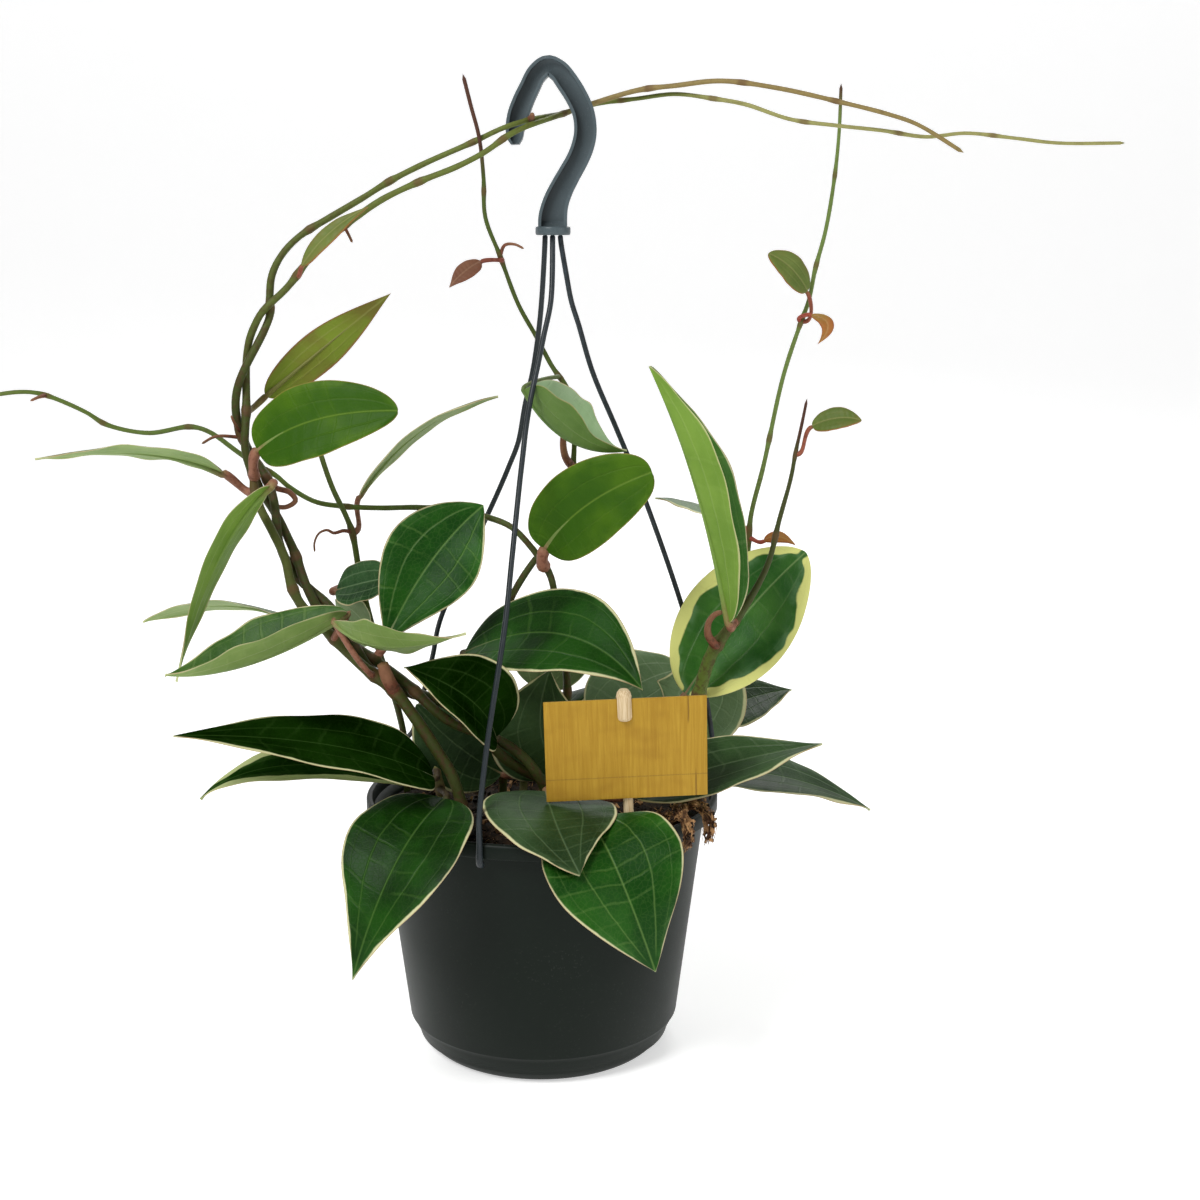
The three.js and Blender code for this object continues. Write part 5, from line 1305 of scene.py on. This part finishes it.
# %% The hanger
HOOK_LINE = [  # x, the width there, z
    (-9.2, 3.4, 379.6), (-9.3, 6.2, 382), (-9.2, 7.4, 385.6), (-7.9, 8.4, 390.8),
    (-5.9, 8.2, 396.2), (-3.3, 7.9, 401.5), (-0.4, 7.8, 406.8), (3.9, 7.7, 409.9),
    (8.2, 8.3, 407.9), (11.4, 8.8, 404), (15.3, 8.8, 398), (18, 8.8, 392), (18.9, 9, 385),
    (17.9, 9, 379.2), (15.6, 8.8, 373.6), (12.4, 9, 368), (9.3, 9.5, 362.4), (6.9, 10.4, 356.8),
    (5.7, 11.5, 351), (5.7, 11.6, 345),
]
HOOK_STEPS = 96
HOOK_HALF_DEPTH = 4
FLANGE = 1.25
HALF_WEB = 0.9
CLOSED_END = 0.035  # the share of the bar at each end where the channel runs out
COLLAR_SECTION = [
    (0, 344), (6.4, 344), (6.8, 344.15), (7.05, 344.6), (7.1, 345), (7.1, 346.6), (7.0, 347.1),
    (6.7, 347.4), (6.3, 347.5), (0, 347.5),
]
COLLAR_X = 5.7
STRAND_RADIUS = 1.1
STRAND_RING = RIM_RADIUS + GAP + STRAND_RADIUS
STRAND_STEP = 1.5
CHANNEL_CORNERS = (2, 3, 8, 9)  # of the twelve corners, those on the channels' floors


def plastic_paint(name, low, high):
    """Blue-grey plastic with a soft sheen, fine scuffs and painted shade in one side of each
    channel.
    """
    paint = Paint(name, Specular_IOR_Level=0.4)
    cloud = paint.noise(60, 3)
    scuff = (paint.noise(1500, 2, distortion=1.5) - 0.6).rise(0, 0.08)
    colour = paint.mix(rgb(low), rgb(high), cloud)
    colour = paint.mix(colour, rgb("7c868a"), scuff * 0.2)
    # Painted shade: the first skin number darkens each channel floor beside its left flange, as if
    # that flange shadowed it. On the strands that number is the place round the tube, so the same
    # mix darkens each strand more and more round its circumference.
    painted_shade, _, _ = paint.skin()
    colour = paint.mix(colour, rgb("0e1518"), painted_shade * 0.85)
    return paint.finish(colour, cloud * 0.15 + scuff * 0.1 + 0.33, scuff + cloud, depth=0.0001)


def hook_section(width, web):
    """The corners of the section: a channel's two walls and its floor on each face."""
    edge, inner, deep = width / 2, width / 2 - FLANGE, HOOK_HALF_DEPTH
    wall = [(edge, deep), (inner, deep), (inner, web)]
    front = [*wall, *[(-across, depth) for across, depth in reversed(wall)]]
    return [*front, *[(-across, -depth) for across, depth in front]]


def add_hook(bm):
    line = Line(HOOK_LINE)
    skin = bm.verts.layers.float_vector["skin"]
    for k, row in enumerate(grid(bm, 12, HOOK_STEPS)):
        share = k / HOOK_STEPS
        x, width, z = line.at(share)
        along = line.along(min(max(share, 0.002), 0.998))
        sideways = Vector((along.z, 0, -along.x)).normalized()
        closing = max(1 - min(share, 1 - share) / CLOSED_END, 0)
        section = hook_section(width, HALF_WEB + (HOOK_HALF_DEPTH - HALF_WEB) * closing**0.5)
        for i, point in enumerate(row):
            across, deep = section[i % 12]
            point.co = (Vector((x, deep, z)) + sideways * across) * MM
            # Painted shade: each channel floor is darkest at its left corner and fades towards its
            # right one, where the left flange would cast its shadow.
            painted_shade = max(-across * sideways.x / (width / 2 - FLANGE), 0)
            point[skin] = (painted_shade if i % 12 in CHANNEL_CORNERS else 0, 0, 0)
    weld(bm)
    open_ends = [edge for edge in bm.edges if edge.is_boundary]
    bmesh.ops.holes_fill(bm, edges=open_ends, sides=0)
    bmesh.ops.recalc_face_normals(bm, faces=bm.faces)
    corner = math.radians(60)
    bevel(bm, [e for e in bm.edges if e.is_manifold and e.calc_face_angle() > corner], 0.35)


bm = new_mesh()
add_hook(bm)
collar = bmesh.new()
spin(collar, COLLAR_SECTION, 64)
move(collar, (COLLAR_X * MM, 0, 0))
collar = as_object(collar, "collar")
bm.from_mesh(collar.data)
bpy.data.objects.remove(collar)
HANGER = plastic_paint("hanger_plastic", "404b4f", "525f64")
STRAND = plastic_paint("strand_plastic", "242e34", "323e45")
hook = finish_piece("hook_moulding", bm, "hanger_hook", [HANGER], 35)
print("hook faces:", len(hook.data.polygons))

# The place round the rim in degrees from the front, and the points from the collar down
STRANDS = {
    "strand_front": (-17, [
        [5.6, -3, 342.8], [5, -11, 318.2], [2.2, -15, 304.6], [-0.2, -18.4, 292.8],
        [-2.8, -23, 280.5], [-4.7, -26, 269.3], [-6, -30, 258], [-7.4, -34, 245.6],
        [-10, -45, 218.8], [-12.5, -55, 194], [-19, -68, 151],
    ]),
    "strand_right": (103, [
        [8.7, 0, 342.8], [11.2, 0.5, 327.3], [13, 2, 317.6], [15.9, 3.5, 308.2],
        [21.6, 5.5, 288.7], [31.8, 8, 264.3], [41.5, 10, 240.5], [59, 14, 190.7],
        [69.8, 16.2, 152],
    ]),
    "strand_back": (-125, [
        [2.4, 3, 342.8], [0.7, 7, 317.5], [-0.8, 9.5, 304], [-3.3, 12, 288.6],
        [-6.7, 15, 274.5], [-9.9, 18, 258.2], [-14, 20.4, 247.7], [-18.3, 22.2, 237.7],
        [-24.6, 24.6, 224], [-45.6, 33, 178], [-49.4, 36, 161.5], [-53.9, 39, 144.6],
        [-59.4, 41.5, 125.6],
    ]),
}
RIM_CLIP = [(0.1, 120.5), (0, 115.5), (0, 110.5), (0.3, 105.1), (-0.1, 102.8), (-3, 101.9)]
for name, (angle, points) in STRANDS.items():
    turn = math.radians(angle)
    ring = [(STRAND_RING + out, height) for out, height in RIM_CLIP]
    clip = [(radius * math.sin(turn), -radius * math.cos(turn), z) for radius, z in ring]
    line = Line([Vector(points[0]) + Vector((0, 0, 2.2)), *points, *clip])
    bm = new_mesh()
    add_rod(
        bm, line, int(line.length / STRAND_STEP),
        lambda share: STRAND_RADIUS + 0.35 * math.exp(-(((share - 1) * line.length / 14) ** 2)), 14,
    )
    finish_piece(name + "_moulding", bm, name, [STRAND])
    print(name, round(line.length), "mm")

# %% [markdown]
# ## The name card and its stick
#
# The card is a thin sheet of wood that leans forward in the split head of a stick. Both are
# modelled upright about the card's middle, where their grain runs straight, and only then leaned
# and moved. A point's upright place stays in the skin attribute, so the grain leans with them.

# %% The name card and its stick
CARD_MIDDLE = (35, -60.3, 146)
CARD_WIDTH = 64
CARD_HEIGHT = 42
CARD_THICKNESS = 0.9
CARD_LEAN = -1.8
STICK_LEAN = -3
FORWARD_LEAN = 6
CARD_TURN = 3.5
STICK_RADIUS = 2
STICK_LENGTH = 52
STICK_BEHIND = CARD_THICKNESS / 2 + GAP + STICK_RADIUS
HEAD_RADIUS = 3.1
HEAD_LOW = 12
HEAD_TOP = 25
SHAFT_SECTION = [
    (0, -STICK_LENGTH), (STICK_RADIUS - 0.3, -STICK_LENGTH), (STICK_RADIUS, -STICK_LENGTH + 0.3),
    (STICK_RADIUS, HEAD_TOP - 3), (0, HEAD_TOP - 3),
]
HEAD_SECTION = [
    (0, HEAD_LOW), (HEAD_RADIUS - 0.9, HEAD_LOW), (HEAD_RADIUS - 0.3, HEAD_LOW + 0.5),
    (HEAD_RADIUS, HEAD_LOW + 1.6), (HEAD_RADIUS, HEAD_TOP - 3.4),
    (HEAD_RADIUS - 0.4, HEAD_TOP - 1.6), (HEAD_RADIUS - 1.3, HEAD_TOP - 0.4), (0, HEAD_TOP),
]


def lean(bm, degrees):
    """Keeps each point's upright place, then leans the piece in its own plane and forward,
    turns it and moves it into place."""
    skin = bm.verts.layers.float_vector["skin"]
    for point in bm.verts:
        point[skin] = point.co / MM
    for angle, axis in ((degrees, "Y"), (FORWARD_LEAN, "X"), (CARD_TURN, "Z")):
        turn = Matrix.Rotation(math.radians(angle), 3, axis)
        bmesh.ops.rotate(bm, verts=bm.verts, cent=(0, 0, 0), matrix=turn)
    move(bm, Vector(CARD_MIDDLE) * MM)


def card_paint():
    """Ochre-stained wood with upright grain, a few cracks and one ruled line."""
    paint = Paint("card_wood", Specular_IOR_Level=0.3)
    x, _, z = paint.skin()
    grain = paint.noise(1.0, 5, paint.join(x * 0.9, z * 0.035), distortion=0.6)
    pore = paint.noise(1.0, 3, paint.join(x * 5, z * 0.3, 4.0))
    cloud = paint.noise(1.0, 2, paint.join(x * 0.05, z * 0.08, 9.0))
    colour = paint.mix(rgb("a67e1c"), rgb("b8922e"), (grain - 0.3).rise(0, 0.5))
    colour = paint.mix(colour, rgb("966c16"), (cloud - 0.45).rise(0, 0.3) * 0.5)
    colour = paint.mix(colour, rgb("8c601a"), (pore - 0.58).rise(0, 0.12) * 0.18)
    wander = grain * 1.2
    crack_top = (x - 25.2 + wander).near(0.55) * (z - 9).rise(0, 3)
    crack_low = (x - 28 + wander).near(0.5) * (1 - (z + 9).rise(-5, 1))
    crack = crack_top + crack_low
    colour = paint.mix(colour, rgb("5c3e14"), crack * 0.6)
    rule = (z + 11.5 + grain * 0.5).near(0.45) * (pore * 2 - 0.5).rise(0, 0.6)
    colour = paint.mix(colour, rgb("78581e"), rule * 0.55)
    return paint.finish(colour, grain * 0.2 + 0.55, grain - crack - pore * 0.3, depth=0.0003)


def stick_paint():
    """Pale wood with long grain, darkened by damp where it enters the soil."""
    paint = Paint("stick_wood", Specular_IOR_Level=0.25)
    x, y, z = paint.skin()
    grain = paint.noise(1.0, 4, paint.join(x * 2.2, z * 0.09, y * 2.2))
    colour = paint.mix(rgb("dec8a2"), rgb("bc9e72"), (grain - 0.4).rise(0, 0.3))
    damp = 1 - (z + 43).rise(-4, 14)
    colour = paint.mix(colour, rgb("684e32"), damp * 0.7)
    return paint.finish(colour, grain * 0.15 + 0.6, grain, depth=0.0003)


bm = new_mesh()
add_box(bm, CARD_WIDTH, CARD_THICKNESS, CARD_HEIGHT)
bevel(bm, list(bm.edges), 0.18)
long_edges = [edge for edge in bm.edges if edge.calc_length() > 10 * MM]
bmesh.ops.subdivide_edges(bm, edges=long_edges, cuts=24, use_grid_fill=True)
lean(bm, CARD_LEAN)
card = finish_piece("card_wood", bm, "tag_card", [card_paint()], 50)

bm = new_mesh()
spin(bm, SHAFT_SECTION, 32)
move(bm, (0, STICK_BEHIND * MM, 0))
shaft = as_object(bm, "shaft")
bm = bmesh.new()
spin(bm, HEAD_SECTION, 40)
move(bm, (0, 0.6 * MM, 0))
boolean(shaft, as_object(bm, "head"), "UNION")
bm = bmesh.new()
add_box(bm, 3 * HEAD_RADIUS, CARD_THICKNESS + 2 * GAP, CARD_HEIGHT + 1.8)
boolean(shaft, as_object(bm, "slit"), "DIFFERENCE")
bm = new_mesh()
bm.from_mesh(shaft.data)
bpy.data.objects.remove(shaft)
lean(bm, STICK_LEAN)
stick = finish_piece("stick_wood", bm, "tag_stick", [stick_paint()], 40)
print("card faces:", len(card.data.polygons), "stick faces:", len(stick.data.polygons))

# %% [markdown]
# ## The floor and the light
#
# The plant stands on a plain pale floor that curves up far behind it, so no horizon shows. A
# broad lamp from the upper left gives the leaves their sheen, and a weaker one fills the right.

# %% The floor and the light
FLOOR_BACK = 1.6  # metres behind the pot, where the floor starts to rise
FLOOR_BEND = 1.2
bm = bmesh.new()
turns = [math.radians(7.5 * k) for k in range(1, 13)]
profile = [(-3.0, 0.0), (FLOOR_BACK, 0.0)]
profile += [
    (FLOOR_BACK + FLOOR_BEND * math.sin(turn), FLOOR_BEND - FLOOR_BEND * math.cos(turn))
    for turn in turns
]
profile.append((FLOOR_BACK + FLOOR_BEND, 4.0))
points = [bm.verts.new((-4, y, z)) for y, z in profile]
edges = [bm.edges.new(pair) for pair in zip(points, points[1:])]
grown = bmesh.ops.extrude_edge_only(bm, edges=edges)["geom"]
far_side = [item for item in grown if isinstance(item, bmesh.types.BMVert)]
bmesh.ops.translate(bm, verts=far_side, vec=(8, 0, 0))
floor = as_object(bm, "floor")
floor_paint = Paint("floor", Roughness=0.9, Specular_IOR_Level=0.1, Emission_Strength=0.5)
floor_paint.shader.inputs["Base Color"].default_value = (0.86, 0.86, 0.86, 1)
floor_paint.shader.inputs["Emission Color"].default_value = (1, 1, 1, 1)
floor.data.materials.append(floor_paint.material)
floor.data.shade_smooth()


def add_lamp(name, place, aim, size, power):
    data = bpy.data.lights.new(name, "AREA")
    data.shape, data.size, data.energy = "DISK", size, power
    lamp = bpy.data.objects.new(name, data)
    lamp.location = place
    lamp.rotation_euler = (Vector(aim) - Vector(place)).to_track_quat("-Z", "Y").to_euler()
    bpy.context.scene.collection.objects.link(lamp)


add_lamp("key", (-0.8, -1.1, 1.5), (0, 0, 0.2), 0.7, 24)
add_lamp("fill", (1.4, -0.8, 0.9), (0, 0, 0.2), 1.0, 6)
add_lamp("back", (0.3, 1.3, 1.3), (0, 0, 0.25), 0.8, 8)
world = bpy.data.worlds.new("studio")
world.use_nodes = True
world.node_tree.nodes["Background"].inputs["Color"].default_value = (1, 1, 1, 1)
world.node_tree.nodes["Background"].inputs["Strength"].default_value = 0.24
bpy.context.scene.world = world
bpy.context.scene.view_settings.view_transform = "Standard"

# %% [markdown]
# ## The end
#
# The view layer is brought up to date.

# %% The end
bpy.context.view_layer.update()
